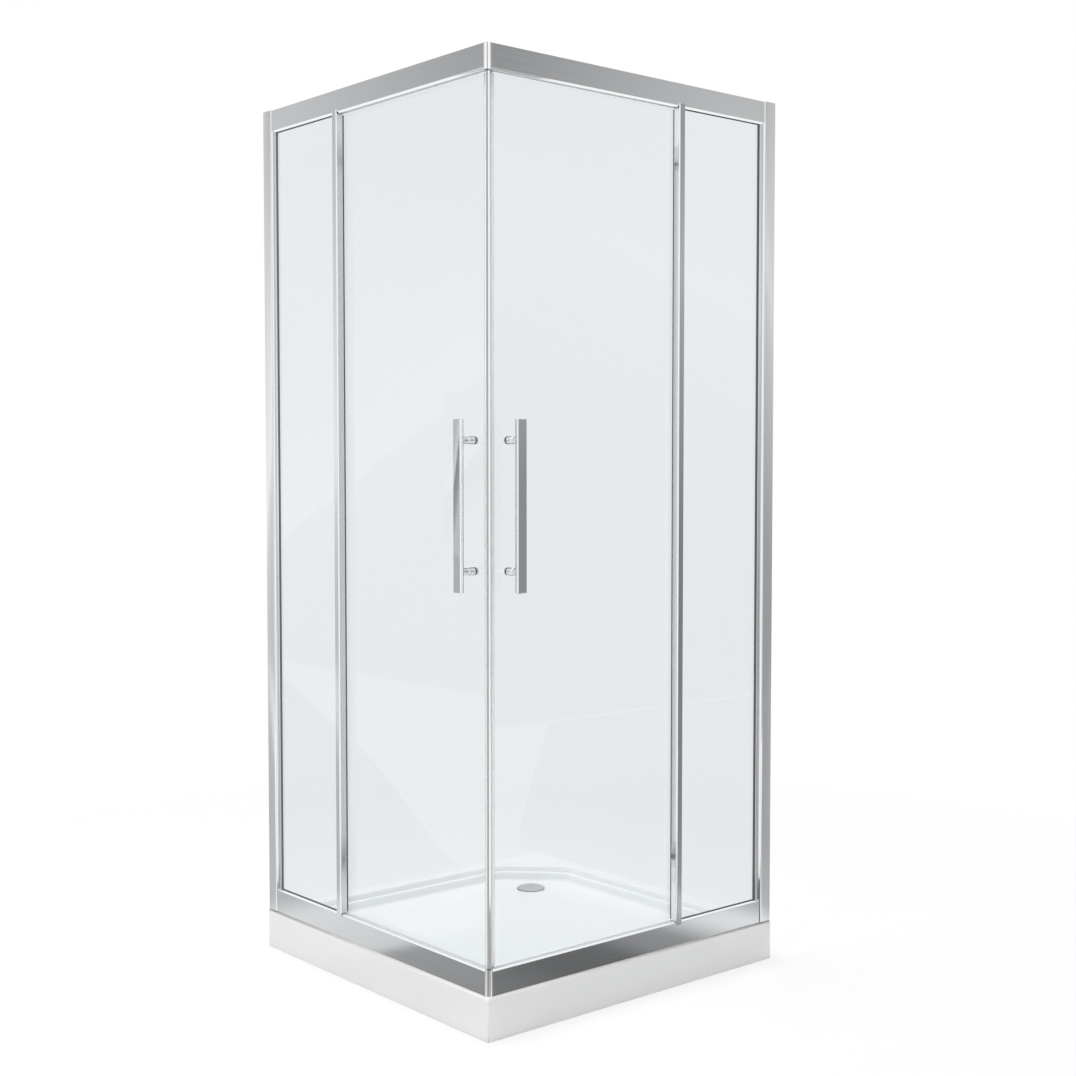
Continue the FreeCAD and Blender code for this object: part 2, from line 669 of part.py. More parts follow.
def mitre_block():
    """Return a prism that covers everything on the right side of the corner's diagonal plane."""
    corners = [(0, 0, 0), (TRAY_SIDE, -TRAY_SIDE, 0), (TRAY_SIDE, TRAY_SIDE, 0)]
    return Part.Face(level_wire(corners, 0)).extrude(FreeCAD.Vector(0, 0, 2 * TOP_Z))


def rail(corners, hollow_low_z, hollow_high_z):
    """Return a mitred left rail from its outline and the heights of its hollow chamber."""
    shape = along_side(corners, POST_X, CONNECTOR_X)
    hollow = block(
        (POST_X, CONNECTOR_X),
        (FRAME_SETBACK + RAIL_WALL, GROOVE_INNER),
        (hollow_low_z, hollow_high_z),
    )
    return shape.cut(hollow).cut(mitre_block())


def make_rails():
    floor_z = TRAY_HEIGHT + RAIL_WALL
    rib_outer = BOTTOM_WHEEL_DEPTH - TRACK_RIB_WIDTH / 2
    rib_inner = BOTTOM_WHEEL_DEPTH + TRACK_RIB_WIDTH / 2
    bottom = [
        (FRAME_SETBACK, TRAY_HEIGHT, 0),
        (FRAME_SETBACK, BOTTOM_FACE_Z, RAIL_EDGE_RADIUS),
        (OUTER_LIP, BOTTOM_LIP_Z, 0),
        (GROOVE_OUTER, BOTTOM_LIP_Z, 0),
        (GROOVE_OUTER, GROOVE_FLOOR_Z, 0),
        (GROOVE_INNER, GROOVE_FLOOR_Z, 0),
        (GROOVE_INNER, BOTTOM_LIP_Z, 0),
        (INNER_LIP, BOTTOM_LIP_Z, 0),
        (INNER_LIP, floor_z, 0),
        (rib_outer, floor_z, 0),
        (rib_outer, BOTTOM_RIB_Z, 0),
        (rib_inner, BOTTOM_RIB_Z, 0),
        (rib_inner, floor_z, 0),
        (RAIL_INNER - RAIL_WALL, floor_z, 0),
        (RAIL_INNER - RAIL_WALL, TRAY_HEIGHT + BOTTOM_BACK_HEIGHT, 0),
        (RAIL_INNER, TRAY_HEIGHT + BOTTOM_BACK_HEIGHT, 0),
        (RAIL_INNER, TRAY_HEIGHT, 0),
    ]
    save_pair("bottom_rail", rail(bottom, floor_z, GROOVE_FLOOR_Z - RAIL_WALL))

    roof_z = TOP_Z - RAIL_WALL
    rib_outer = TOP_WHEEL_DEPTH - TRACK_RIB_WIDTH / 2
    rib_inner = TOP_WHEEL_DEPTH + TRACK_RIB_WIDTH / 2
    top = [
        (FRAME_SETBACK, TOP_Z, RAIL_EDGE_RADIUS),
        (FRAME_SETBACK, TOP_FACE_Z, RAIL_EDGE_RADIUS),
        (OUTER_LIP, TOP_LIP_Z, 0),
        (GROOVE_OUTER, TOP_LIP_Z, 0),
        (GROOVE_OUTER, GROOVE_ROOF_Z, 0),
        (GROOVE_INNER, GROOVE_ROOF_Z, 0),
        (GROOVE_INNER, TOP_LIP_Z, 0),
        (INNER_LIP, TOP_LIP_Z, 0),
        (INNER_LIP, roof_z, 0),
        (RAIL_INNER - RAIL_WALL, roof_z, 0),
        (RAIL_INNER - RAIL_WALL, TOP_TRACK_Z, 0),
        (rib_inner, TOP_TRACK_Z, 0),
        (rib_inner, TOP_RIB_Z, 0),
        (rib_outer, TOP_RIB_Z, 0),
        (rib_outer, TOP_TRACK_Z, 0),
        (RAIL_INNER - TOP_TRACK_REACH, TOP_TRACK_Z, 0),
        (RAIL_INNER - TOP_TRACK_REACH, TOP_TRACK_Z - RAIL_WALL, 0),
        (RAIL_INNER, TOP_TRACK_Z - RAIL_WALL, 0),
        (RAIL_INNER, TOP_Z, RAIL_WALL),
    ]
    save_pair("top_rail", rail(top, GROOVE_ROOF_Z + RAIL_WALL, roof_z))

    infills = []
    for low_z in (BOTTOM_LIP_Z - INFILL_DROP - INFILL_HEIGHT, TOP_LIP_Z + INFILL_DROP):
        x_range = (STILE_FRONT_X, CONNECTOR_X)
        infill = block(x_range, (GROOVE_OUTER, GROOVE_INNER), (low_z, low_z + INFILL_HEIGHT))
        infill = infill.cut(mitre_block())
        infills += [infill, mirrored(infill)]
    save("groove_infills", Part.makeCompound(infills))


def connector(low_z, high_z, hollow_low_z, hollow_high_z):
    """Return a corner connector with a tenon in the hollow chamber of each rail."""
    face = HALF - FRAME_SETBACK
    middle = face - CONNECTOR_NOSE / 2
    half_width = NOSE_GROOVE_HALF_WIDTH / math.sqrt(2)
    root = middle - NOSE_GROOVE_DEPTH / math.sqrt(2)
    corners = [
        (CONNECTOR_X, -face, CONNECTOR_SEAM_RADIUS),
        (face - CONNECTOR_NOSE, -face, CONNECTOR_RADIUS),
        (middle - half_width, -middle - half_width, 0),
        (root, -root, 0),
        (middle + half_width, -middle + half_width, 0),
        (face, -face + CONNECTOR_NOSE, CONNECTOR_RADIUS),
        (face, -CONNECTOR_X, CONNECTOR_SEAM_RADIUS),
        (CONNECTOR_X, -CONNECTOR_X, 0),
    ]
    shape = Part.Face(level_wire(corners, low_z)).extrude(FreeCAD.Vector(0, 0, high_z - low_z))
    tenon = block(
        (CONNECTOR_X - TENON_LENGTH, CONNECTOR_X),
        (FRAME_SETBACK + RAIL_WALL + TENON_CLEARANCE, GROOVE_INNER - TENON_CLEARANCE),
        (hollow_low_z + TENON_CLEARANCE, hollow_high_z - TENON_CLEARANCE),
    )
    return shape.fuse(tenon).fuse(mirrored(tenon)).removeSplitter()


def make_connectors():
    floor_z = TRAY_HEIGHT + RAIL_WALL
    roof_z = TOP_Z - RAIL_WALL
    bottom = connector(TRAY_HEIGHT, BOTTOM_LIP_Z, floor_z, GROOVE_FLOOR_Z - RAIL_WALL)
    top = connector(TOP_LIP_Z, TOP_Z, GROOVE_ROOF_Z + RAIL_WALL, roof_z)
    save("bottom_corner_connector", bottom)
    save("top_corner_connector", top)


# Fixed panels: glass in rubber, a stile on the free edge and a wiper between stile and door


def make_fixed_panel():
    glass_low_z = GROOVE_FLOOR_Z + GLASS_EDGE_GAP
    glass_high_z = GROOVE_ROOF_Z - GLASS_EDGE_GAP
    glass_rear_x = POCKET_FLOOR_X + GLASS_EDGE_GAP
    pocket_x = STILE_REAR_X + STILE_POCKET
    glass = block(
        (glass_rear_x, pocket_x - GLASS_EDGE_GAP),
        (FIXED_GLASS_OUTER, FIXED_GLASS_INNER),
        (glass_low_z, glass_high_z),
    )
    save_pair("fixed_glass", glass)

    rubber = block(
        (POCKET_FLOOR_X + GASKET_END_GAP, pocket_x - GASKET_END_GAP),
        (GROOVE_OUTER, GROOVE_INNER),
        (GROOVE_FLOOR_Z + GASKET_END_GAP, GROOVE_ROOF_Z - GASKET_END_GAP),
    )
    window = block(
        (POCKET_X + GASKET_POST_SHOW, STILE_REAR_X - GASKET_SHOW),
        (GROOVE_OUTER, GROOVE_INNER),
        (BOTTOM_LIP_Z + GASKET_SHOW, TOP_LIP_Z - GASKET_SHOW),
    )
    inner_window = block(
        (POCKET_INNER_X + GASKET_SHOW, STILE_REAR_X - GASKET_SHOW),
        (FIXED_GLASS_INNER, GROOVE_INNER),
        (BOTTOM_LIP_Z + GASKET_SHOW, TOP_LIP_Z - GASKET_SHOW),
    )
    save_pair("glazing_gasket", rubber.cut(window).cut(inner_window).cut(glass))

    stile_outer = FRAME_SETBACK - STILE_PROUD
    stile = upright(
        [
            (STILE_REAR_X, stile_outer, STILE_EDGE_RADIUS),
            (STILE_FRONT_X, stile_outer, STILE_NOSE_RADIUS),
            (STILE_FRONT_X, STILE_INNER, STILE_EDGE_RADIUS),
            (STILE_REAR_X, STILE_INNER, 0),
            (STILE_REAR_X, GROOVE_INNER, 0),
            (pocket_x, GROOVE_INNER, 0),
            (pocket_x, GROOVE_OUTER, 0),
            (STILE_REAR_X, GROOVE_OUTER, 0),
        ],
        BOTTOM_LIP_Z + STILE_END_GAP,
        TOP_LIP_Z - STILE_END_GAP,
    )
    hollow = block(
        (STILE_REAR_X + RAIL_WALL, STILE_FRONT_X - RAIL_WALL),
        (stile_outer + RAIL_WALL, OUTER_LIP),
        (BOTTOM_LIP_Z, TOP_LIP_Z),
    )
    lap = upright(
        [
            (STILE_REAR_X, stile_outer, STILE_EDGE_RADIUS),
            (STILE_FRONT_X, stile_outer, STILE_NOSE_RADIUS),
            (STILE_FRONT_X, STILE_INNER, 0),
            (STILE_REAR_X, STILE_INNER, 0),
        ],
        BOTTOM_FACE_Z - STILE_LAP,
        TOP_FACE_Z + STILE_LAP,
    )
    lap = lap.common(block((STILE_REAR_X, STILE_FRONT_X), (stile_outer, FRAME_SETBACK), (TRAY_HEIGHT, TOP_Z)))
    save_pair("fixed_stile", stile.cut(hollow).fuse(lap).removeSplitter())

    wiper = block(
        (STILE_FRONT_X - STILE_EDGE_RADIUS - WIPER_WIDTH, STILE_FRONT_X - STILE_EDGE_RADIUS),
        (STILE_INNER, DOOR_OUTER - WIPER_GAP),
        (SEAL_LOW_Z, SEAL_HIGH_Z),
    )
    save_pair("stile_wiper", wiper)


# Sliding doors: glass, seals, handle, and the bolts and brackets of its wheels


def make_door_glass():
    glass = block((DOOR_REAR_X, DOOR_FRONT_X), (DOOR_OUTER, DOOR_INNER), (DOOR_LOW_Z, DOOR_HIGH_Z))
    for x in ROLLER_XS:
        glass = glass.cut(inward_cylinder(BUSH_HOLE_RADIUS, x, TOP_AXLE_Z, DOOR_OUTER, DOOR_INNER))
        glass = glass.cut(inward_cylinder(BUSH_HOLE_RADIUS, x, BRACKET_BOLT_Z, DOOR_OUTER, DOOR_INNER))
    for z in HANDLE_POST_ZS:
        glass = glass.cut(inward_cylinder(HANDLE_HOLE_RADIUS, HANDLE_X, z, DOOR_OUTER, DOOR_INNER))
    save_pair("door_glass", glass)


def from_diagonal(along, off):
    """Return (x, depth) of a point along the corner's diagonal plane, off to its left by off."""
    x = along - off / math.sqrt(2)
    y = -along - off / math.sqrt(2)
    return (x, y + HALF)


def make_door_seals():
    inner_end = MAGNET_OUTER - MAGNET_LENGTH
    back = MAGNET_GAP + MAGNET_THICKNESS
    magnet = [
        from_diagonal(inner_end, MAGNET_GAP),
        from_diagonal(MAGNET_OUTER, MAGNET_GAP),
        from_diagonal(MAGNET_OUTER, back),
        from_diagonal(inner_end, back),
    ]
    save_pair("closing_magnet", upright(sharp(magnet), SEAL_LOW_Z, SEAL_HIGH_Z))

    clip_rear_x = DOOR_FRONT_X - CLIP_COVER
    clip_front_x = DOOR_FRONT_X + CLIP_END
    clip_outer = DOOR_OUTER - CLIP_WALL
    clip_inner = DOOR_INNER + CLIP_WALL
    seal = [
        (clip_rear_x, clip_outer),
        (clip_front_x, clip_outer),
        from_diagonal(MAGNET_OUTER, back + SEAL_BACK),
        from_diagonal(MAGNET_OUTER, back),
        from_diagonal(inner_end, back),
        (clip_front_x + CLIP_END, DOOR_OUTER),
        (clip_front_x, clip_inner - CLIP_WALL),
        (clip_front_x - CLIP_WALL, clip_inner),
        (clip_rear_x, clip_inner),
        (clip_rear_x, DOOR_INNER),
        (DOOR_FRONT_X, DOOR_INNER),
        (DOOR_FRONT_X, DOOR_OUTER),
        (clip_rear_x, DOOR_OUTER),
    ]
    save_pair("closing_seal", upright(sharp(seal), SEAL_LOW_Z, SEAL_HIGH_Z))

    rear_x = DOOR_REAR_X - REAR_CLIP_END
    cover_x = DOOR_REAR_X + REAR_CLIP_COVER
    fin_x = rear_x + REAR_FIN_WIDTH
    rear = [
        (rear_x, clip_inner),
        (cover_x, clip_inner),
        (cover_x, DOOR_INNER),
        (DOOR_REAR_X, DOOR_INNER),
        (DOOR_REAR_X, DOOR_OUTER),
        (cover_x, DOOR_OUTER),
        (cover_x, clip_outer),
        (fin_x, clip_outer),
        (fin_x, STILE_INNER + REAR_FIN_GAP),
        (rear_x, STILE_INNER + REAR_FIN_GAP),
    ]
    save_pair("rear_seal", upright(sharp(rear), SEAL_LOW_Z, SEAL_HIGH_Z))


def make_handle():
    bar_inner = DOOR_OUTER - HANDLE_STAND_OFF
    bar = block(
        (HANDLE_X - HANDLE_WIDTH / 2, HANDLE_X + HANDLE_WIDTH / 2),
        (bar_inner - HANDLE_THICKNESS, bar_inner),
        (HANDLE_CENTRE_Z - HANDLE_LENGTH / 2, HANDLE_CENTRE_Z + HANDLE_LENGTH / 2),
    )
    uprights = [edge for edge in bar.Edges if edge.BoundBox.ZLength > HANDLE_LENGTH / 2]
    save_pair("handle_bar", bar.makeFillet(HANDLE_EDGE_RADIUS, uprights))

    posts = []
    caps = []
    for z in HANDLE_POST_ZS:
        post = inward_cylinder(HANDLE_POST_RADIUS, HANDLE_X, z, bar_inner, DOOR_OUTER)
        collar_outer = DOOR_OUTER - HANDLE_COLLAR_LENGTH
        post = post.fuse(inward_cylinder(HANDLE_COLLAR_RADIUS, HANDLE_X, z, collar_outer, DOOR_OUTER))
        stud = inward_cylinder(HANDLE_STUD_RADIUS, HANDLE_X, z, bar_inner, DOOR_INNER)
        posts.append(post.fuse(stud).removeSplitter())
        cap = inward_cylinder(HANDLE_COLLAR_RADIUS, HANDLE_X, z, DOOR_INNER, DOOR_INNER + HANDLE_CAP_LENGTH)
        rim_y = in_from_side(DOOR_INNER + HANDLE_CAP_BEVEL)
        rim = [edge for edge in cap.Edges if edge.BoundBox.YMin > rim_y]
        caps.append(cap.makeChamfer(HANDLE_CAP_BEVEL, rim))
    save_pair("handle_posts", Part.makeCompound(posts))
    save_pair("handle_caps", Part.makeCompound(caps))


def wheel(x, z, depth, width, outer_radius, groove_radius, bore_radius):
    """Return a grooved wheel whose axis runs inward at x and z, centred on a depth."""
    half = width / 2
    groove = WHEEL_GROOVE_WIDTH / 2
    points = [
        (-half, bore_radius),
        (-half, outer_radius),
        (-groove - WHEEL_GROOVE_SLANT, outer_radius),
        (-groove, groove_radius),
        (groove, groove_radius),
        (groove + WHEEL_GROOVE_SLANT, outer_radius),
        (half, outer_radius),
        (half, bore_radius),
    ]
    corners = [FreeCAD.Vector(x + r, in_from_side(depth + along), z) for along, r in points]
    face = Part.Face(Part.makePolygon(corners + corners[:1]))
    return face.revolve(FreeCAD.Vector(x, 0, z), INWARD, 360)


def make_top_rollers():
    bolts = []
    wheel_outer = TOP_WHEEL_DEPTH - TOP_WHEEL_WIDTH / 2
    wheel_inner = TOP_WHEEL_DEPTH + TOP_WHEEL_WIDTH / 2
    head_outer = wheel_inner + AXLE_HEAD_GAP
    for x, place in zip(ROLLER_XS, ("rear", "front")):
        stages = [
            (BOLT_CAP_RADIUS, DOOR_OUTER - BOLT_CAP_THICKNESS, DOOR_OUTER),
            (BUSH_RADIUS, DOOR_OUTER, DOOR_INNER),
            (WASHER_RADIUS, DOOR_INNER, wheel_outer - WASHER_GAP),
            (TOP_AXLE_RADIUS, wheel_outer - WASHER_GAP, head_outer),
            (AXLE_HEAD_RADIUS, head_outer, head_outer + AXLE_HEAD_THICKNESS),
        ]
        solids = [inward_cylinder(radius, x, TOP_AXLE_Z, low, high) for radius, low, high in stages]
        bolts.append(solids[0].multiFuse(solids[1:]))
        bore_radius = TOP_AXLE_RADIUS + BORE_CLEARANCE
        rolling = wheel(
            x,
            TOP_AXLE_Z,
            TOP_WHEEL_DEPTH,
            TOP_WHEEL_WIDTH,
            TOP_WHEEL_RADIUS,
            TOP_GROOVE_RADIUS,
            bore_radius,
        )
        save_pair("top_" + place + "_wheel", rolling)
    save_pair("hanger_bolts", Part.makeCompound(bolts))


def make_bottom_rollers():
    half = BRACKET_WIDTH / 2
    plate_inner = DOOR_INNER + BRACKET_PLATE
    release_outer = plate_inner + RELEASE_CLEARANCE
    release_inner = release_outer + RELEASE_PLATE
    lip_outer = release_inner + RELEASE_CLEARANCE
    wheel_inner = BOTTOM_WHEEL_DEPTH + BOTTOM_WHEEL_WIDTH / 2
    head_outer = wheel_inner + AXLE_HEAD_GAP
    brackets = []
    for x, place in zip(ROLLER_XS, ("rear", "front")):
        bracket = block((x - half, x + half), (DOOR_INNER, plate_inner), (BRACKET_LOW_Z, BRACKET_HIGH_Z))
        for side in (-1, 1):
            cheek_x = sorted((x + side * half, x + side * (half - CHEEK_THICKNESS)))
            cheek = block(cheek_x, (DOOR_INNER, plate_inner + CHEEK_DEPTH), (BRACKET_LOW_Z, BRACKET_HIGH_Z))
            lip_x = sorted((x + side * half, x + side * (half - CHEEK_THICKNESS - CHEEK_LIP)))
            lip_depth = (lip_outer, lip_outer + CHEEK_LIP_THICKNESS)
            lip = block(lip_x, lip_depth, (CHEEK_LIP_LOW_Z, CHEEK_LIP_HIGH_Z))
            bracket = bracket.fuse(cheek).fuse(lip)
        cap_outer = DOOR_OUTER - BOLT_CAP_THICKNESS
        cap = inward_cylinder(BOLT_CAP_RADIUS, x, BRACKET_BOLT_Z, cap_outer, DOOR_OUTER)
        bush = inward_cylinder(BUSH_RADIUS, x, BRACKET_BOLT_Z, DOOR_OUTER, DOOR_INNER)
        brackets.append(bracket.fuse(cap).fuse(bush).removeSplitter())

        release_half = half - CHEEK_THICKNESS - RELEASE_CLEARANCE
        release = block(
            (x - release_half, x + release_half),
            (release_outer, release_inner),
            (RELEASE_LOW_Z, RELEASE_HIGH_Z),
        )
        tab = block(
            (x - TAB_WIDTH / 2, x + TAB_WIDTH / 2),
            (release_outer, release_outer + TAB_DEPTH),
            (TAB_LOW_Z, TAB_HIGH_Z),
        )
        tab = tab.makeChamfer(TAB_BEVEL, tab.Edges)
        axle = inward_cylinder(BOTTOM_AXLE_RADIUS, x, BOTTOM_AXLE_Z, release_outer, head_outer)
        head_inner = head_outer + AXLE_HEAD_THICKNESS
        head = inward_cylinder(BOTTOM_HEAD_RADIUS, x, BOTTOM_AXLE_Z, head_outer, head_inner)
        save_pair(place + "_release", release.fuse(tab).fuse(axle).fuse(head))
        bore_radius = BOTTOM_AXLE_RADIUS + BORE_CLEARANCE
        rolling = wheel(
            x,
            BOTTOM_AXLE_Z,
            BOTTOM_WHEEL_DEPTH,
            BOTTOM_WHEEL_WIDTH,
            BOTTOM_WHEEL_RADIUS,
            BOTTOM_GROOVE_RADIUS,
            bore_radius,
        )
        save_pair("bottom_" + place + "_wheel", rolling)
    save_pair("bottom_brackets", Part.makeCompound(brackets))


def make_door_stops():
    depths = (INNER_LIP, INNER_LIP + STOP_WIDTH)
    top_high = TOP_Z - TOP_STOP_DROP
    bottom_low = TRAY_HEIGHT + RAIL_WALL + BOTTOM_STOP_RISE
    stops = []
    for heights in ((top_high - STOP_HEIGHT, top_high), (bottom_low, bottom_low + STOP_HEIGHT)):
        stop = block((POST_X, POST_X + STOP_LENGTH), depths, heights)
        front = [edge for edge in stop.Edges if edge.BoundBox.XMin > POST_X + STOP_EDGE_RADIUS]
        stops.append(stop.makeFillet(STOP_EDGE_RADIUS, front))
    save("door_stops", Part.makeCompound(stops + [mirrored(stop) for stop in stops]))


os.makedirs("parts", exist_ok=True)
make_tray()
make_waste()
make_wall_side()
make_rails()
make_connectors()
make_fixed_panel()
make_door_glass()
make_door_seals()
make_handle()
make_top_rollers()
make_bottom_rollers()
make_door_stops()
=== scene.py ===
import json
import math

import bpy
from mathutils import Matrix, Vector


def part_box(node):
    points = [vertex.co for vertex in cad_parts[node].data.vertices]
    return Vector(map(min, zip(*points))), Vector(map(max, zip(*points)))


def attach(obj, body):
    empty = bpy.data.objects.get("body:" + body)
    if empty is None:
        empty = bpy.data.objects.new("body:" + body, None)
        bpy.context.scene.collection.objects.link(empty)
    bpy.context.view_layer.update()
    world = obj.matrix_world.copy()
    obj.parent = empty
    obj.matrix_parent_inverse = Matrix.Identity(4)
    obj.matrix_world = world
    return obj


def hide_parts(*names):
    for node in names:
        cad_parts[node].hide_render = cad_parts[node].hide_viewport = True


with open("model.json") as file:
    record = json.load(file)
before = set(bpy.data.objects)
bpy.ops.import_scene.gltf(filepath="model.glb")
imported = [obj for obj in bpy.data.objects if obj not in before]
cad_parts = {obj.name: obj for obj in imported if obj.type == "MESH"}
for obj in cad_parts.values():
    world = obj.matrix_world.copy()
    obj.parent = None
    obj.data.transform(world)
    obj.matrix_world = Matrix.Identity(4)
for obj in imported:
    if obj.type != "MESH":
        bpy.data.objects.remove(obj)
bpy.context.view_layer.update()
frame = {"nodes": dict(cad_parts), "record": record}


# Studio: a white room with a pale floor, one wide soft lamp overhead and a weaker one to the left.
# The floor and the room are white to the eye and in reflections, and the floor keeps a soft shadow.

CAMERA_PLACE = (3.0609, -2.5274, 1.2411)
CAMERA_TURN = 49.663
CAMERA_TILT = -2.786
FOCAL_LENGTH_PX = 1590.18
IMAGE_SIDE_PX = 1076
SENSOR_MM = 36.0
ROOM_TINT = "FBFCFF"
WHITE = "FFFFFF"
FLOOR_TONES = ("EDEDED", "F0F0F0")
FLOOR_HALF = 30.0
SHADOW_NEAR = 0.9
SHADOW_FAR = 2.6
SHADOW_SHARE = 0.40
ROOM_LIGHT = 0.60
TOP_LAMP_PLACE = (-0.12, -0.50, 4.2)
TOP_LAMP_AIM = (-0.05, 0.05, 0.0)
TOP_LAMP_SIDE = 3.4
TOP_LAMP_POWER = 158.0
TOP_LAMP_COLOUR = "FFFBF7"
SIDE_LAMP_PLACE = (-1.6, -4.2, 1.7)
SIDE_LAMP_AIM = (0.0, -0.45, 0.3)
SIDE_LAMP_SIDE = 2.6
SIDE_LAMP_POWER = 8.0

scene = bpy.context.scene
scene.view_settings.view_transform = "Standard"


def to_linear(hex_colour):
    """Turn an sRGB hex colour into the linear values that a shader takes."""
    values = []
    for start in (0, 2, 4):
        part = int(hex_colour[start:start + 2], 16) / 255
        values.append(part / 12.92 if part <= 0.04045 else ((part + 0.055) / 1.055) ** 2.4)
    return (*values, 1.0)


def add_node(tree, kind, inputs=None, **settings):
    """Add a shader node, set its properties, and set or link its inputs."""
    node = tree.nodes.new(kind)
    for name, value in settings.items():
        setattr(node, name, value)
    for name, value in (inputs or {}).items():
        if isinstance(value, bpy.types.NodeSocket):
            tree.links.new(value, node.inputs[name])
        else:
            node.inputs[name].default_value = value
    return node


def new_material(name):
    """Return an empty node material and its tree."""
    material = bpy.data.materials.new(name)
    material.use_nodes = True
    material.node_tree.nodes.clear()
    return material, material.node_tree


def finish_material(tree, shader, height=None, distance=0.0):
    """Link a shader to the output, with a bump from a height where there is one."""
    if height is not None:
        bump = add_node(tree, "ShaderNodeBump", {"Height": height, "Distance": distance, "Strength": 1.0})
        tree.links.new(bump.outputs["Normal"], shader.inputs["Normal"])
    add_node(tree, "ShaderNodeOutputMaterial", {"Surface": shader.outputs[0]})


def looking_at(place, aim):
    """Return the turn of a lamp that stands at a place and points at another."""
    return (Vector(aim) - Vector(place)).to_track_quat("-Z", "Y").to_euler()


def add_lamp(name, place, aim, side, power, hex_colour):
    """Add a square soft lamp that isn't seen in reflections."""
    lamp = bpy.data.lights.new(name, "AREA")
    lamp.color = to_linear(hex_colour)[:3]
    lamp.shape = "SQUARE"
    lamp.size = side
    lamp.energy = power
    holder = bpy.data.objects.new(name, lamp)
    holder.location = place
    holder.rotation_euler = looking_at(place, aim)
    holder.visible_glossy = False
    scene.collection.objects.link(holder)


def white_to_the_eye(tree):
    """Return 1 for what the camera sees straight, in a reflection or through glass."""
    path = add_node(tree, "ShaderNodeLightPath")
    seen = path.outputs["Is Camera Ray"]
    for ray in ("Is Glossy Ray", "Is Transmission Ray"):
        either = add_node(tree, "ShaderNodeMath", {0: seen, 1: path.outputs[ray]}, operation="MAXIMUM")
        seen = either.outputs[0]
    return seen


def add_room():
    """Light the room evenly and make it white to the eye."""
    world = bpy.data.worlds.new("white studio room")
    world.use_nodes = True
    scene.world = world
    tree = world.node_tree
    tree.nodes.clear()
    light = add_node(tree, "ShaderNodeBackground", {"Color": to_linear(ROOM_TINT), "Strength": ROOM_LIGHT})
    white = add_node(tree, "ShaderNodeBackground", {"Color": to_linear(WHITE), "Strength": 1.0})
    seen = white_to_the_eye(tree)
    mix = add_node(tree, "ShaderNodeMixShader", {0: seen, 1: light.outputs[0], 2: white.outputs[0]})
    add_node(tree, "ShaderNodeOutputWorld", {"Surface": mix.outputs[0]})


def add_floor():
    """Lay a pale matt floor whose shadow fades out to white away from the object."""
    bpy.ops.object.select_all(action="DESELECT")
    bpy.ops.mesh.primitive_plane_add(size=2 * FLOOR_HALF, location=(0, 0, 0))
    floor = bpy.context.object
    floor.name = "studio_floor"
    material, tree = new_material("pale matt studio floor")
    place = add_node(tree, "ShaderNodeTexCoord").outputs["Object"]
    grain = add_node(tree, "ShaderNodeTexNoise", {"Vector": place, "Scale": 9.0, "Detail": 3.0})
    dark, pale = (to_linear(tone) for tone in FLOOR_TONES)
    tone = add_node(tree, "ShaderNodeMix", {"Factor": grain.outputs[0], 6: dark, 7: pale}, data_type="RGBA")
    away = add_node(tree, "ShaderNodeVectorMath", {0: place}, operation="LENGTH")
    share = add_node(
        tree,
        "ShaderNodeMapRange",
        {0: away.outputs["Value"], 1: SHADOW_NEAR, 2: SHADOW_FAR, 3: 1 - SHADOW_SHARE, 4: 1.0},
        interpolation_type="SMOOTHSTEP",
    )
    seen = white_to_the_eye(tree)
    shown = add_node(tree, "ShaderNodeMath", {0: share.outputs[0], 1: seen}, operation="MULTIPLY").outputs[0]
    matt = add_node(tree, "ShaderNodeBsdfDiffuse", {"Color": tone.outputs[2]})
    white = add_node(tree, "ShaderNodeEmission", {"Color": to_linear(WHITE), "Strength": 1.0})
    mix = add_node(tree, "ShaderNodeMixShader", {0: shown, 1: matt.outputs[0], 2: white.outputs[0]})
    finish_material(tree, mix)
    floor.data.materials.append(material)


camera = bpy.data.objects.new("camera", bpy.data.cameras.new("camera"))
camera.data.sensor_width = SENSOR_MM
camera.data.lens = FOCAL_LENGTH_PX / IMAGE_SIDE_PX * SENSOR_MM
camera.data.clip_end = 100.0
camera.location = CAMERA_PLACE
camera.rotation_euler = (math.radians(90 + CAMERA_TILT), 0, math.radians(CAMERA_TURN))
scene.collection.objects.link(camera)
scene.camera = camera
add_room()
add_floor()
add_lamp("top lamp", TOP_LAMP_PLACE, TOP_LAMP_AIM, TOP_LAMP_SIDE, TOP_LAMP_POWER, TOP_LAMP_COLOUR)
add_lamp("side lamp", SIDE_LAMP_PLACE, SIDE_LAMP_AIM, SIDE_LAMP_SIDE, SIDE_LAMP_POWER, WHITE)


# Reflector cards: two graded boards in front of the glazed sides, each paler above a slanting edge, a
# small board that draws the dark diagonal on the left handle, and three dark cloths on the floor.
# They are seen only in polished metal and glass, where a slanting edge draws a streak.

LEFT_CARD_Y = -3.5
LEFT_CARD_SPAN = (-8.5, -1.2)
LEFT_EDGE_FROM = (-5.6, 0.70)
LEFT_EDGE_TO = (-3.37, 1.744)
LEFT_TONES = ((-2.0, 0.60), (-0.55, 0.71), (-0.03, 0.84), (0.0, 1.18), (0.75, 0.97), (2.1, 0.77), (4.5, 0.68))
LEFT_DIM = ((-5.4, 0.0), (-3.4, 1.0)), ((1.9, 0.0), (2.9, 1.0)), 0.46
RIGHT_CARD_X = 3.5
RIGHT_CARD_SPAN = (0.6, 6.5)
RIGHT_EDGE_FROM = (2.737, 2.296)
RIGHT_EDGE_TO = (3.928, 1.922)
RIGHT_TONES = (
    (-2.3, 0.40),
    (-1.3, 0.42),
    (-0.44, 0.64),
    (-0.03, 0.76),
    (0.0, 0.97),
    (0.37, 0.79),
    (0.9, 0.73),
    (1.3, 0.62),
    (3.0, 0.55),
)
RIGHT_DIM = ((2.0, 1.0), (3.7, 0.0)), ((2.2, 0.0), (2.9, 1.0)), 0.54
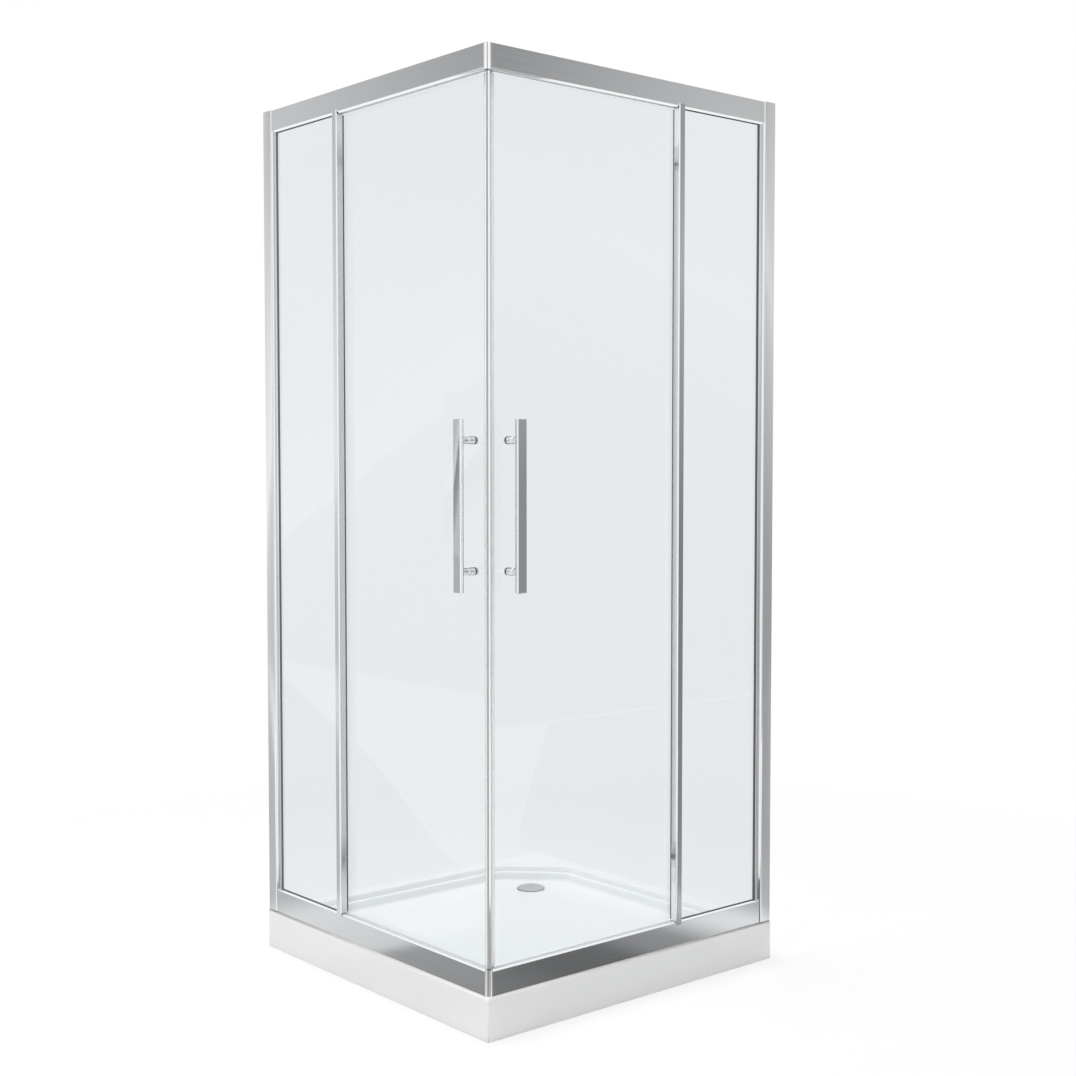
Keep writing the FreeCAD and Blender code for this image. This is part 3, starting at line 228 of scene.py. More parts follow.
CARD_HEIGHTS = (0, 8.0)
CLOTH_LIFT = 0.002
LEFT_CLOTH = (
    (0.25, -0.46),
    (0.25, -0.85),
    (-1.0, -1.35),
    (-2.2, -1.95),
    (-3.4, -2.50),
    (-5.6, -3.45),
    (-5.6, -3.30),
    (-3.4, -2.09),
    (-2.3, -1.44),
    (-1.9, -1.17),
    (-1.2, -0.80),
    (-0.6, -0.46),
)
LEFT_CLOTH_TONES = (
    (-2.1, 0.58),
    (-0.8, 0.62),
    (-0.62, 0.95),
    (-0.44, 0.88),
    (-0.24, 0.82),
    (-0.18, 0.42),
    (0.2, 0.36),
)
RIGHT_CLOTH = (
    (0.46, -0.30),
    (0.85, -0.30),
    (1.75, 0.75),
    (2.4, 1.35),
    (3.45, 2.35),
    (3.45, 3.97),
    (2.0, 2.31),
    (1.36, 1.56),
    (1.0, 1.18),
    (0.46, 0.62),
)
RIGHT_CLOTH_TONES = (
    (-0.2, 0.24),
    (0.0, 0.17),
    (0.18, 0.18),
    (0.27, 0.33),
    (0.40, 0.36),
    (0.46, 0.62),
    (0.56, 0.98),
    (0.66, 1.0),
    (0.76, 0.58),
    (1.3, 0.46),
    (3.2, 0.42),
)
CORNER_CLOTH = ((0.55, -0.86), (0.55, -0.55), (0.86, -0.55), (1.3, -1.0), (0.95, -1.35))
CORNER_CLOTH_TONES = ((0.4, 0.35), (1.2, 0.50))
HANDLE_CARD_Y = -3.45
HANDLE_CARD_SPAN = (-3.75, -3.36)
HANDLE_CARD_HEIGHTS = (0.75, 1.60)
HANDLE_EDGE_FROM = (-3.557, 1.213)
HANDLE_EDGE_TO = (-3.498, 1.265)
HANDLE_TONES = (
    (-0.50, 0.80),
    (-0.33, 0.80),
    (-0.17, 0.48),
    (-0.008, 0.40),
    (0.008, 0.98),
    (0.08, 0.98),
    (0.17, 0.76),
    (0.40, 0.76),
)
NO_DIM = ((-9.0, 0.0), (9.0, 0.0)), ((0.0, 0.0), (9.0, 0.0)), 0.0


def tone_ramp(tree, value, tones):
    """Return a grey strength that follows a value through a list of (value, strength)."""
    low = tones[0][0]
    high = tones[-1][0]
    share = add_node(tree, "ShaderNodeMapRange", {0: value, 1: low, 2: high, 3: 0.0, 4: 1.0})
    ramp = add_node(tree, "ShaderNodeValToRGB", {0: share.outputs[0]})
    stops = ramp.color_ramp.elements
    while len(stops) < len(tones):
        stops.new(0.5)
    brightest = max(strength for at, strength in tones) or 1.0
    for stop, (at, strength) in zip(stops, tones):
        stop.position = (at - low) / (high - low)
        stop.color = (strength / brightest, strength / brightest, strength / brightest, 1.0)
    scaled = add_node(tree, "ShaderNodeMath", {0: ramp.outputs["Color"], 1: brightest}, operation="MULTIPLY")
    return scaled.outputs[0]


def only_in_reflections(board):
    """Hide a board from everything but glossy rays."""
    board.visible_camera = False
    board.visible_diffuse = False
    board.visible_shadow = False
    board.visible_transmission = False
    board.visible_volume_scatter = False


def upright_outline(span, heights):
    """Return the corners of an upright board as (place along it, height)."""
    low, high = span
    foot, head = heights
    return [(low, foot), (high, foot), (high, head), (low, head)]


def add_board(name, corners):
    """Add a flat board with its corners where they are given."""
    mesh = bpy.data.meshes.new(name)
    mesh.from_pydata(corners, [], [range(len(corners))])
    board = bpy.data.objects.new(name, mesh)
    scene.collection.objects.link(board)
    only_in_reflections(board)
    return board


def paint_board(board, name, along, edge_from, edge_to, tones, dim):
    """Grade a board by the height above its slanting edge, and dim its upper corner."""
    material, tree = new_material(name)
    place = add_node(tree, "ShaderNodeTexCoord").outputs["Object"]
    parts = add_node(tree, "ShaderNodeSeparateXYZ", {0: place})
    slope = (edge_to[1] - edge_from[1]) / (edge_to[0] - edge_from[0])
    line = add_node(tree, "ShaderNodeMath", {0: parts.outputs[along], 1: slope}, operation="MULTIPLY")
    start = edge_from[1] - slope * edge_from[0]
    level = parts.outputs["Z"]
    above = add_node(tree, "ShaderNodeMath", {0: level, 1: line.outputs[0]}, operation="SUBTRACT")
    height = add_node(tree, "ShaderNodeMath", {0: above.outputs[0], 1: start}, operation="SUBTRACT")
    across = tone_ramp(tree, parts.outputs[along], dim[0])
    upward = tone_ramp(tree, parts.outputs["Z"], dim[1])
    corner = add_node(tree, "ShaderNodeMath", {0: across, 1: upward}, operation="MULTIPLY")
    lost = add_node(tree, "ShaderNodeMath", {0: corner.outputs[0], 1: dim[2]}, operation="MULTIPLY")
    share = add_node(tree, "ShaderNodeMath", {0: 1.0, 1: lost.outputs[0]}, operation="SUBTRACT")
    tone = tone_ramp(tree, height.outputs[0], tones)
    glow = add_node(tree, "ShaderNodeEmission", {"Color": tone, "Strength": share.outputs[0]})
    finish_material(tree, glow)
    board.data.materials.append(material)


def add_cloth(name, outline, along, tones):
    """Lay a cloth of the given outline on the floor and grade it along one direction."""
    cloth = add_board(name, [(x, y, CLOTH_LIFT) for x, y in outline])
    material, tree = new_material("graded " + name.replace("_", " "))
    place = add_node(tree, "ShaderNodeTexCoord").outputs["Object"]
    parts = add_node(tree, "ShaderNodeSeparateXYZ", {0: place})
    glow = add_node(tree, "ShaderNodeEmission", {"Color": tone_ramp(tree, parts.outputs[along], tones)})
    finish_material(tree, glow)
    cloth.data.materials.append(material)


outline = upright_outline(LEFT_CARD_SPAN, CARD_HEIGHTS)
left_card = add_board("left_reflector_card", [(along, LEFT_CARD_Y, level) for along, level in outline])
paint_board(left_card, "graded left reflector", "X", LEFT_EDGE_FROM, LEFT_EDGE_TO, LEFT_TONES, LEFT_DIM)
outline = upright_outline(HANDLE_CARD_SPAN, HANDLE_CARD_HEIGHTS)
handle_card = add_board("handle_reflector_card", [(along, HANDLE_CARD_Y, level) for along, level in outline])
edge = HANDLE_EDGE_FROM, HANDLE_EDGE_TO
paint_board(handle_card, "graded handle reflector", "X", *edge, HANDLE_TONES, NO_DIM)
outline = upright_outline(RIGHT_CARD_SPAN, CARD_HEIGHTS)
right_card = add_board("right_reflector_card", [(RIGHT_CARD_X, along, level) for along, level in outline])
paint_board(right_card, "graded right reflector", "Y", RIGHT_EDGE_FROM, RIGHT_EDGE_TO, RIGHT_TONES, RIGHT_DIM)
add_cloth("left_floor_cloth", LEFT_CLOTH, "X", LEFT_CLOTH_TONES)
add_cloth("right_floor_cloth", RIGHT_CLOTH, "Y", RIGHT_CLOTH_TONES)
add_cloth("corner_floor_cloth", CORNER_CLOTH, "X", CORNER_CLOTH_TONES)


# Aluminium frame: wall channels, wall posts, top and bottom rails and the stiles of the fixed
# panels. They are extruded aluminium, polished and anodised bright, with faint lengthwise die lines,
# and every corner of the section is broken by a small radius that catches the light.

POST_COLOUR = "E3E4E6"
RAIL_COLOUR = "DCDEE0"
# The right stile's darker colour is painted shade: the same aluminium as the left stile, toned down for the
# less lit side.
STILE_SHADE_COLOURS = {"left": "DDDEE0", "right": "B6B8BA"}
HIGHLIGHT_ALUMINIUM_COLOUR = "F6F7F8"
HIGHLIGHT_ALUMINIUM_ROUGHNESS = (0.04, 0.07)
METAL_ROUGHNESS = (0.10, 0.17)
DIE_LINE_SHARES = (0.965, 1.02)
DIE_LINE_PITCH_MM = 3.0
DIE_LINE_RUN_MM = 900.0
DIE_LINE_HEIGHT_MM = 0.004
PROFILE_EDGE_MM = 0.5
MERGE_MM = 0.01
SMOOTH_ANGLE = 32
LIP_FROM = -0.410
MM = 0.001
SIDES = ("left", "right")
BODY_OF = {node: body for body, nodes in frame["record"]["behaviour"]["bodies"].items() for node in nodes}


def choose(piece):
    """Make one object the only one selected, and active."""
    bpy.ops.object.select_all(action="DESELECT")
    piece.select_set(True)
    bpy.context.view_layer.objects.active = piece


def take_place(piece, node, material):
    """Let a piece stand for a CAD node: its body and its finish."""
    piece.data.materials.clear()
    piece.data.materials.append(material)
    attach(piece, BODY_OF[node])
    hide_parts(node)


def merged_copy(name, node):
    """Copy a node's mesh, merge its loose triangles and join those that lie in one plane."""
    piece = bpy.data.objects.new(name, frame["nodes"][node].data.copy())
    scene.collection.objects.link(piece)
    choose(piece)
    bpy.ops.object.mode_set(mode="EDIT")
    bpy.ops.mesh.select_all(action="SELECT")
    bpy.ops.mesh.remove_doubles(threshold=MERGE_MM * MM)
    bpy.ops.mesh.dissolve_limited(angle_limit=math.radians(0.5), delimit={"NORMAL"})
    bpy.ops.mesh.select_all(action="DESELECT")
    bpy.ops.object.mode_set(mode="OBJECT")
    return piece


def break_edges(piece, width_mm, angle=35, steps=2):
    """Round the sharp edges of a piece by a small radius, and keep its flat faces flat."""
    choose(piece)
    bevel = piece.modifiers.new("broken edges", "BEVEL")
    bevel.width = width_mm * MM
    bevel.segments = steps
    bevel.limit_method = "ANGLE"
    bevel.angle_limit = math.radians(angle)
    bpy.ops.object.modifier_apply(modifier=bevel.name)
    smooth_round_parts(piece)


def smooth_round_parts(piece):
    """Smooth what is round, with the flat faces deciding the shading next to them."""
    choose(piece)
    bpy.ops.object.shade_smooth_by_angle(angle=math.radians(SMOOTH_ANGLE))
    weights = piece.modifiers.new("flat faces first", "WEIGHTED_NORMAL")
    weights.keep_sharp = True
    bpy.ops.object.modifier_apply(modifier=weights.name)


def finish_node(node, material, width_mm, steps=2):
    """Dress a node in a copy of its own form with its sharp edges rounded."""
    piece = merged_copy(node + "_finished", node)
    break_edges(piece, width_mm, steps=steps)
    take_place(piece, node, material)


def stretched_noise(tree, along, pitch_mm, run_mm, detail=2.0):
    """Return noise drawn out along X, Y or Z, from the real pitch across and run along."""
    scale = [1000 / pitch_mm] * 3
    scale["XYZ".index(along)] = 1000 / run_mm
    place = add_node(tree, "ShaderNodeTexCoord").outputs["Object"]
    drawn = add_node(tree, "ShaderNodeMapping", {"Vector": place, "Scale": scale}).outputs[0]
    noise = add_node(tree, "ShaderNodeTexNoise", {"Vector": drawn, "Scale": 1.0, "Detail": detail})
    return noise.outputs[0]


def toned(hex_colour, share):
    """Return a colour in linear values, made darker or paler by a share."""
    return (*(min(1.0, value * share) for value in to_linear(hex_colour)[:3]), 1.0)


def bright_aluminium(name, hex_colour, along, roughness=METAL_ROUGHNESS):
    """Polished and bright anodised aluminium: a clear grey mirror with faint lengthwise lines."""
    # Real die lines are some 0.3 mm apart; they are drawn 3 mm apart so that the image can show them.
    material, tree = new_material(name)
    lines = stretched_noise(tree, along, DIE_LINE_PITCH_MM, DIE_LINE_RUN_MM)
    dark, pale = (toned(hex_colour, share) for share in DIE_LINE_SHARES)
    colour = add_node(tree, "ShaderNodeMix", {"Factor": lines, 6: dark, 7: pale}, data_type="RGBA")
    low, high = roughness
    rough = add_node(tree, "ShaderNodeMapRange", {0: lines, 1: 0.3, 2: 0.7, 3: low, 4: high})
    metal = add_node(
        tree,
        "ShaderNodeBsdfPrincipled",
        {"Base Color": colour.outputs[2], "Metallic": 1.0, "Roughness": rough.outputs[0]},
    )
    finish_material(tree, metal, lines, DIE_LINE_HEIGHT_MM * MM)
    return material


def to_side(side, vector):
    """Return a vector's parts on a side: along to the entry corner, outward and upward."""
    if side == "left":
        return vector[0], -vector[1], vector[2]
    return -vector[1], vector[0], vector[2]


def finish_faces(piece, material, chosen):
    """Give the faces that a test picks by their normal and middle a second material."""
    piece.data.materials.append(material)
    for face in piece.data.polygons:
        if chosen(face.normal, face.center):
            face.material_index = len(piece.data.materials) - 1


def is_painted_highlight(side, profile):
    """Return the test for faces given a painted highlight: slopes of rails and corners of uprights."""

    def chosen(normal, center):
        along, outward, upward = to_side(side, normal)
        if profile.endswith("rail"):
            return outward > 0.25 and abs(upward) > 0.25
        if profile == "fixed_stile" and side == "right":
            return along > 0.15 and outward > -0.1
        on_lip = profile != "wall_post" or to_side(side, center)[0] < LIP_FROM
        return outward > 0.15 and along > 0.15 and on_lip

    return chosen


upright_aluminium = bright_aluminium("bright anodised aluminium, upright", POST_COLOUR, "Z")
# Stile materials: the right one carries painted shade in its darker colour.
side_shaded_stile_aluminium = {
    side: bright_aluminium("bright anodised aluminium, " + side + " stile", colour, "Z")
    for side, colour in STILE_SHADE_COLOURS.items()
}
# A paler, smoother copy of the aluminium on faces that face out and up, or towards the entry corner, is
# painted highlight.
highlight_aluminium = bright_aluminium("aluminium with painted highlight", HIGHLIGHT_ALUMINIUM_COLOUR, "Z", HIGHLIGHT_ALUMINIUM_ROUGHNESS)
rail_aluminium = {
    "left": bright_aluminium("bright anodised aluminium, left rails", RAIL_COLOUR, "X"),
    "right": bright_aluminium("bright anodised aluminium, right rails", RAIL_COLOUR, "Y"),
}
for side in SIDES:
    for profile, material in (
        ("wall_channel", upright_aluminium),
        ("wall_post", upright_aluminium),
        ("fixed_stile", side_shaded_stile_aluminium[side]),
        ("top_rail", rail_aluminium[side]),
        ("bottom_rail", rail_aluminium[side]),
    ):
        node = side + "_" + profile
        piece = merged_copy(node + "_profile", node)
        break_edges(piece, PROFILE_EDGE_MM)
        take_place(piece, node, material)
        # Painted highlight on the rail slopes and on the corners of the uprights.
        finish_faces(piece, highlight_aluminium, is_painted_highlight(side, profile))


# Corner connectors: polished die-cast blocks that close the mitred ends of the rails at the entry
# corner, pushed into the hollow rails on two tenons. Their rounded nose shows bright upright lines.

CONNECTOR_COLOUR = "F6F7F8"
CHROME_ROUGHNESS = (0.05, 0.10)
SMUDGE_MM = 35.0
SMUDGE_SHARE = 0.97
CONNECTOR_EDGE_MM = 0.3
# The groove down the nose is coloured a darker grey as painted shade.
GROOVE_SHADE_COLOUR = "A8AAAC"
GROOVE_REACH_MM = 0.9
NOSE_FROM = 0.435


def polished_chrome(name, hex_colour, roughness=CHROME_ROUGHNESS):
    """Chrome plate: a bright mirror, with faint cloudy wear from polishing cloths."""
    material, tree = new_material(name)
    place = add_node(tree, "ShaderNodeTexCoord").outputs["Object"]
    clouds = add_node(tree, "ShaderNodeTexNoise", {"Vector": place, "Scale": 1000 / SMUDGE_MM, "Detail": 4.0})
    low, high = roughness
    rough = add_node(tree, "ShaderNodeMapRange", {0: clouds.outputs[0], 1: 0.35, 2: 0.65, 3: low, 4: high})
    dark, pale = toned(hex_colour, SMUDGE_SHARE), to_linear(hex_colour)
    cloud = clouds.outputs[0]
    colour = add_node(tree, "ShaderNodeMix", {"Factor": cloud, 6: dark, 7: pale}, data_type="RGBA")
    metal = add_node(
        tree,
        "ShaderNodeBsdfPrincipled",
        {"Base Color": colour.outputs[2], "Metallic": 1.0, "Roughness": rough.outputs[0]},
    )
    finish_material(tree, metal)
    return material


def in_groove(normal, center):
    """Return whether a face lies in the groove down the middle of a connector's nose."""
    return abs(center.x + center.y) < GROOVE_REACH_MM * MM and center.x > NOSE_FROM


connector_chrome = polished_chrome("polished chrome plate, connectors", CONNECTOR_COLOUR)
# A darker copy of the chrome in the groove is painted shade.
painted_shade_groove_chrome = polished_chrome("chrome plate with painted shade, groove", GROOVE_SHADE_COLOUR)
for level in ("top", "bottom"):
    node = level + "_corner_connector"
    piece = merged_copy(node + "_casting", node)
    break_edges(piece, CONNECTOR_EDGE_MM)
    take_place(piece, node, connector_chrome)
    finish_faces(piece, painted_shade_groove_chrome, in_groove)


# Glass panes: 6 mm toughened float glass with ground edges. Seen flat it is nearly clear with a cool
# cast; the furnace rollers leave a very shallow wave that bends reflections a little.

GLASS_TINT = "E8ECEE"
GLASS_SHADOW_TINT = "FAFCFC"
GLASS_IOR = 1.52
ROLLER_WAVE_MM = 260.0
ROLLER_WAVE_HEIGHT_MM = 0.01
GROUND_EDGE_MM = 0.8


def clear_glass(name, hex_colour):
    """Toughened float glass that lets lamp light through to what stands behind it."""
    material, tree = new_material(name)
    place = add_node(tree, "ShaderNodeTexCoord").outputs["Object"]
    scale = 1000 / ROLLER_WAVE_MM
    wave = add_node(tree, "ShaderNodeTexNoise", {"Vector": place, "Scale": scale, "Detail": 1.0})
    bump = add_node(
        tree,
        "ShaderNodeBump",
        {"Height": wave.outputs[0], "Distance": ROLLER_WAVE_HEIGHT_MM * MM, "Strength": 1.0},
    )
    glass = add_node(
        tree,
        "ShaderNodeBsdfPrincipled",
        {
            "Base Color": to_linear(hex_colour),
            "Roughness": 0.0,
            "IOR": GLASS_IOR,
            "Transmission Weight": 1.0,
            "Normal": bump.outputs[0],
        },
    )
    path = add_node(tree, "ShaderNodeLightPath")
    lit = add_node(
        tree,
        "ShaderNodeMath",
        {0: path.outputs["Is Shadow Ray"], 1: path.outputs["Is Diffuse Ray"]},
        operation="MAXIMUM",
    )
    open_way = add_node(tree, "ShaderNodeBsdfTransparent", {"Color": to_linear(GLASS_SHADOW_TINT)})
    ways = {0: lit.outputs[0], 1: glass.outputs[0], 2: open_way.outputs[0]}
    mix = add_node(tree, "ShaderNodeMixShader", ways)
    finish_material(tree, mix)
    return material


pane_glass = clear_glass("clear toughened float glass", GLASS_TINT)
for side in SIDES:
    for pane in ("fixed_glass", "door_glass"):
        node = side + "_" + pane
        piece = merged_copy(node + "_pane", node)
        break_edges(piece, GROUND_EDGE_MM, steps=1)
        take_place(piece, node, pane_glass)


# Gaskets and seals: grey glazing rubber round the fixed panes, dark rubber wipers behind the stiles,
# and extruded white soft PVC for the rear seals and the closing seals, which hold magnetic strips.

RUBBER_COLOUR = "606365"
WHITE_PVC_COLOUR = "FDFDFD"
WIPER_COLOUR = "55585A"
# The grey seal lip colour is painted shade.
SEAL_LIP_SHADE_COLOUR = "BCBEC0"
SEAL_CUTS = {"left": (0.4105, 0.4125), "right": (0.4245, 0.4305)}
SEAL_NOSE_FROM = 0.4335
MAGNET_COLOUR = "C0C2C4"
INFILL_COLOUR = "C9CCCE"
RUBBER_GRAIN_MM = 4.0
PVC_WAVE_MM = 18.0
STRIP_DARK_SHARE = 0.93
SEAL_EDGE_MM = 0.3
STRIP_GRAIN_HEIGHT_MM = 0.003


def soft_strip(name, hex_colour, roughness):
    """Extruded rubber or soft PVC: a dull strip with a slight unevenness of its surface."""
    # The real grain is well under 1 mm; it is drawn 4 mm coarse so that the image can show it.
    material, tree = new_material(name)
    place = add_node(tree, "ShaderNodeTexCoord").outputs["Object"]
    scale = 1000 / RUBBER_GRAIN_MM
    grain = add_node(tree, "ShaderNodeTexNoise", {"Vector": place, "Scale": scale, "Detail": 2.0})
    scale = 1000 / PVC_WAVE_MM
    broad = add_node(tree, "ShaderNodeTexNoise", {"Vector": place, "Scale": scale, "Detail": 1.0})
    dark, pale = toned(hex_colour, STRIP_DARK_SHARE), to_linear(hex_colour)
    colour = add_node(tree, "ShaderNodeMix", {"Factor": broad.outputs[0], 6: dark, 7: pale}, data_type="RGBA")
    rough = add_node(
        tree,
        "ShaderNodeMapRange",
        {0: grain.outputs[0], 1: 0.3, 2: 0.7, 3: roughness - 0.05, 4: roughness + 0.05},
    )
    strip = add_node(
        tree,
        "ShaderNodeBsdfPrincipled",
        {"Base Color": colour.outputs[2], "Roughness": rough.outputs[0], "IOR": 1.5},
    )
    finish_material(tree, strip, grain.outputs[0], STRIP_GRAIN_HEIGHT_MM * MM)
    return material


glazing_rubber = soft_strip("extruded grey glazing rubber", RUBBER_COLOUR, 0.6)
white_pvc = soft_strip("extruded white soft PVC", WHITE_PVC_COLOUR, 0.3)
wiper_rubber = soft_strip("extruded dark wiper rubber", WIPER_COLOUR, 0.5)
painted_shade_lip = soft_strip("soft PVC lip with painted shade", SEAL_LIP_SHADE_COLOUR, 0.5)
magnet_rubber = {
    "left": soft_strip("magnetic rubber strip", MAGNET_COLOUR, 0.5),
    "right": connector_chrome,
}
infill_plastic = soft_strip("extruded grey infill strip", INFILL_COLOUR, 0.45)
for side in SIDES:
    for strip, material in (
        ("glazing_gasket", glazing_rubber),
        ("stile_wiper", wiper_rubber),
        ("rear_seal", white_pvc),
        ("closing_magnet", magnet_rubber[side]),
    ):
        node = side + "_" + strip
        piece = merged_copy(node + "_strip", node)
        break_edges(piece, SEAL_EDGE_MM, steps=1)
        take_place(piece, node, material)
    # The white closing seal carries a grey band of painted shade: on the left door along its edge over the
    # glass, on the right door down its slope. The right door's seal has a plated nose, and its strip is
    # plated steel.
    node = side + "_closing_seal"
    piece = merged_copy(node + "_strip", node)
    choose(piece)
    bpy.ops.object.mode_set(mode="EDIT")
    for cut in SEAL_CUTS[side]:
        bpy.ops.mesh.select_all(action="SELECT")
        if side == "left":
            bpy.ops.mesh.bisect(plane_co=(cut, 0.0, 0.0), plane_no=(1.0, 0.0, 0.0))
        else:
            bpy.ops.mesh.bisect(plane_co=(0.0, -cut, 0.0), plane_no=(0.0, 1.0, 0.0))
    bpy.ops.object.mode_set(mode="OBJECT")
    break_edges(piece, SEAL_EDGE_MM, steps=1)
    take_place(piece, node, white_pvc)
    start, end = SEAL_CUTS[side]
    finish_faces(piece, painted_shade_lip, lambda normal, center: start < to_side(side, center)[0] < end)
    if side == "right":
        finish_faces(piece, connector_chrome, lambda normal, center: -center.y > SEAL_NOSE_FROM)
finish_node("groove_infills", infill_plastic, SEAL_EDGE_MM)
finish_node("door_stops", white_pvc, SEAL_EDGE_MM)


# Door handles: a flat chrome-plated bar on two round posts through the door glass, held inside by a
# cap screwed on each stud. The bar's long edges are rounded and its ends are only broken.

HANDLE_COLOUR = "CDCFD1"
HIGHLIGHT_CHROME_COLOUR = "F8F9FA"
DARK_REFLECTION_COLOUR = "64676A"
EDGE_ROUGHNESS = (0.22, 0.30)
BAR_ROUGHNESS = (0.02, 0.05)
BAR_EDGE_MM = 2.4
BAR_END_EDGE_MM = 0.5
BAR_BACK = 0.4626
SIDE_FACE_LEAN = 0.2
POST_TOP_LEAN = 0.80
POST_RADIUS_MM = 7.5
POST_NECK_MM = 0.6
COLLAR_RUN_MM = 16.0
STUD_RADIUS_MM = 4.0
STUD_DISH_MM = 0.5
CAP_DOME_MM = 1.2
SPIN_STEPS = 48
TURNED_SMOOTH_ANGLE = 35
# The paler chrome of the posts and of the bar's sides is painted highlight, and the dark chrome on the bar's
# backs and on the posts' upper and lower bands is painted dark reflection.
handle_chrome = polished_chrome("polished chrome plate, handles", HANDLE_COLOUR, BAR_ROUGHNESS)
post_highlight_chrome = polished_chrome("chrome plate with painted highlight, handle posts", HIGHLIGHT_CHROME_COLOUR, BAR_ROUGHNESS)
side_highlight_chrome = polished_chrome("polished chrome plate, rounded edges", HIGHLIGHT_CHROME_COLOUR, EDGE_ROUGHNESS)
dark_reflection_chrome = polished_chrome("chrome plate with painted dark reflection, backs and bands", DARK_REFLECTION_COLOUR)


def other_side(piece, name):
    """Copy a piece of the left side to the right side, across the plane through the entry corner."""
    mesh = piece.data.copy()
    mesh.transform(Matrix(((0, -1, 0, 0), (-1, 0, 0, 0), (0, 0, 1, 0), (0, 0, 0, 1))))
    mesh.flip_normals()
    copy = bpy.data.objects.new(name, mesh)
    scene.collection.objects.link(copy)
    return copy


def at_rest(piece):
    """Apply a piece's place and size, so that its object sits at the origin."""
    choose(piece)
    bpy.ops.object.transform_apply(location=True, rotation=True, scale=True)


def join(pieces, name):
    """Join several meshes into one piece."""
    bpy.ops.object.select_all(action="DESELECT")
    for piece in pieces:
        piece.select_set(True)
    bpy.context.view_layer.objects.active = pieces[0]
    bpy.ops.object.join()
    pieces[0].name = name
    return pieces[0]


def turned(name, profile, start, axis="Y"):
    """Turn a solid from a profile of (distance along, radius) about an axis through a start point."""
    mesh = bpy.data.meshes.new(name)
    points = [(0.0, along, radius) if axis == "Y" else (radius, 0.0, along) for along, radius in profile]
    mesh.from_pydata(points, [(i, i + 1) for i in range(len(points) - 1)], [])
    piece = bpy.data.objects.new(name, mesh)
    scene.collection.objects.link(piece)
    choose(piece)
    bpy.ops.object.mode_set(mode="EDIT")
    bpy.ops.mesh.select_all(action="SELECT")
    direction = (0, 1, 0) if axis == "Y" else (0, 0, 1)
    bpy.ops.mesh.spin(steps=SPIN_STEPS, angle=2 * math.pi, center=(0, 0, 0), axis=direction)
    bpy.ops.mesh.select_all(action="SELECT")
    bpy.ops.mesh.remove_doubles(threshold=MERGE_MM * MM)
    bpy.ops.mesh.normals_make_consistent(inside=False)
    bpy.ops.object.mode_set(mode="OBJECT")
    bpy.ops.object.shade_smooth_by_angle(angle=math.radians(TURNED_SMOOTH_ANGLE))
    piece.location = start
    at_rest(piece)
    return piece


low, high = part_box("left_handle_bar")
middle = [(a + b) / 2 for a, b in zip(low, high)]
bpy.ops.object.select_all(action="DESELECT")
bpy.ops.mesh.primitive_cube_add(size=1, location=middle)
bar = bpy.context.object
bar.name = "left_handle_flat_bar"
bar.scale = [b - a for a, b in zip(low, high)]
at_rest(bar)
bpy.ops.object.mode_set(mode="EDIT")
bpy.ops.mesh.select_all(action="DESELECT")
bpy.ops.object.mode_set(mode="OBJECT")
for edge in bar.data.edges:
    first, second = (bar.data.vertices[i].co for i in edge.vertices)
    edge.select = abs(first.z - second.z) > BAR_EDGE_MM * MM
bpy.ops.object.mode_set(mode="EDIT")
bpy.ops.mesh.select_mode(type="EDGE")
bpy.ops.mesh.bevel(offset=BAR_EDGE_MM * MM, segments=4, affect="EDGES")
bpy.ops.mesh.select_all(action="SELECT")
bpy.ops.mesh.bisect(plane_co=(0.0, -BAR_BACK, 0.0), plane_no=(0.0, 1.0, 0.0))
bpy.ops.object.mode_set(mode="OBJECT")
break_edges(bar, BAR_END_EDGE_MM, angle=50)
right_bar = other_side(bar, "right_handle_flat_bar")
take_place(bar, "left_handle_bar", handle_chrome)
take_place(right_bar, "right_handle_bar", handle_chrome)

# Painted highlight on the bar's sides and rounded edges, and painted dark reflection on the back part of its
# sides.
for side, piece in (("left", bar), ("right", right_bar)):
    finish_faces(piece, side_highlight_chrome, lambda normal, center: abs(to_side(side, normal)[0]) > SIDE_FACE_LEAN)
    finish_faces(
        piece,
        dark_reflection_chrome,
        lambda normal, center: abs(to_side(side, normal)[0]) > SIDE_FACE_LEAN
        and to_side(side, center)[1] < BAR_BACK,
    )

post_low, post_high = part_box("left_handle_posts")
glass_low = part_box("left_door_glass")[0]
cap_low, cap_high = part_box("left_handle_caps")
cap_radius = (cap_high[0] - cap_low[0]) / 2
post_middle = (post_low[0] + post_high[0]) / 2
post_heights = (post_low[2] + cap_radius, post_high[2] - cap_radius)
post_run = glass_low[1] - post_low[1]
stud_run = post_high[1] - post_low[1]
post_radius = POST_RADIUS_MM * MM
collar_run = COLLAR_RUN_MM * MM
stud_radius = STUD_RADIUS_MM * MM
neck = POST_NECK_MM * MM
post_profile = [
    (0.0, 0.0),
    (0.0, post_radius - neck),
    (neck, post_radius),
    (post_run - collar_run - 2 * neck, post_radius),
    (post_run - collar_run - neck, post_radius - neck),
    (post_run - collar_run, post_radius - neck),
    (post_run - collar_run, cap_radius - neck),
    (post_run - collar_run + neck, cap_radius),
    (post_run - neck, cap_radius),
    (post_run, cap_radius - neck),
    (post_run, stud_radius),
    (stud_run, stud_radius),
    (stud_run, 0.0),
]
cap_run = cap_high[1] - cap_low[1]
dome = CAP_DOME_MM * MM
cap_profile = [
    (0.0, stud_radius),
    (0.0, cap_radius),
    (cap_run - dome, cap_radius),
    (cap_run - dome * 0.3, cap_radius - dome * 0.4),
    (cap_run, cap_radius - dome * 1.3),
    (cap_run, stud_radius),
    (cap_run - dome, stud_radius - STUD_DISH_MM * MM),
    (cap_run - dome, 0.0),
]
posts = []
caps = []
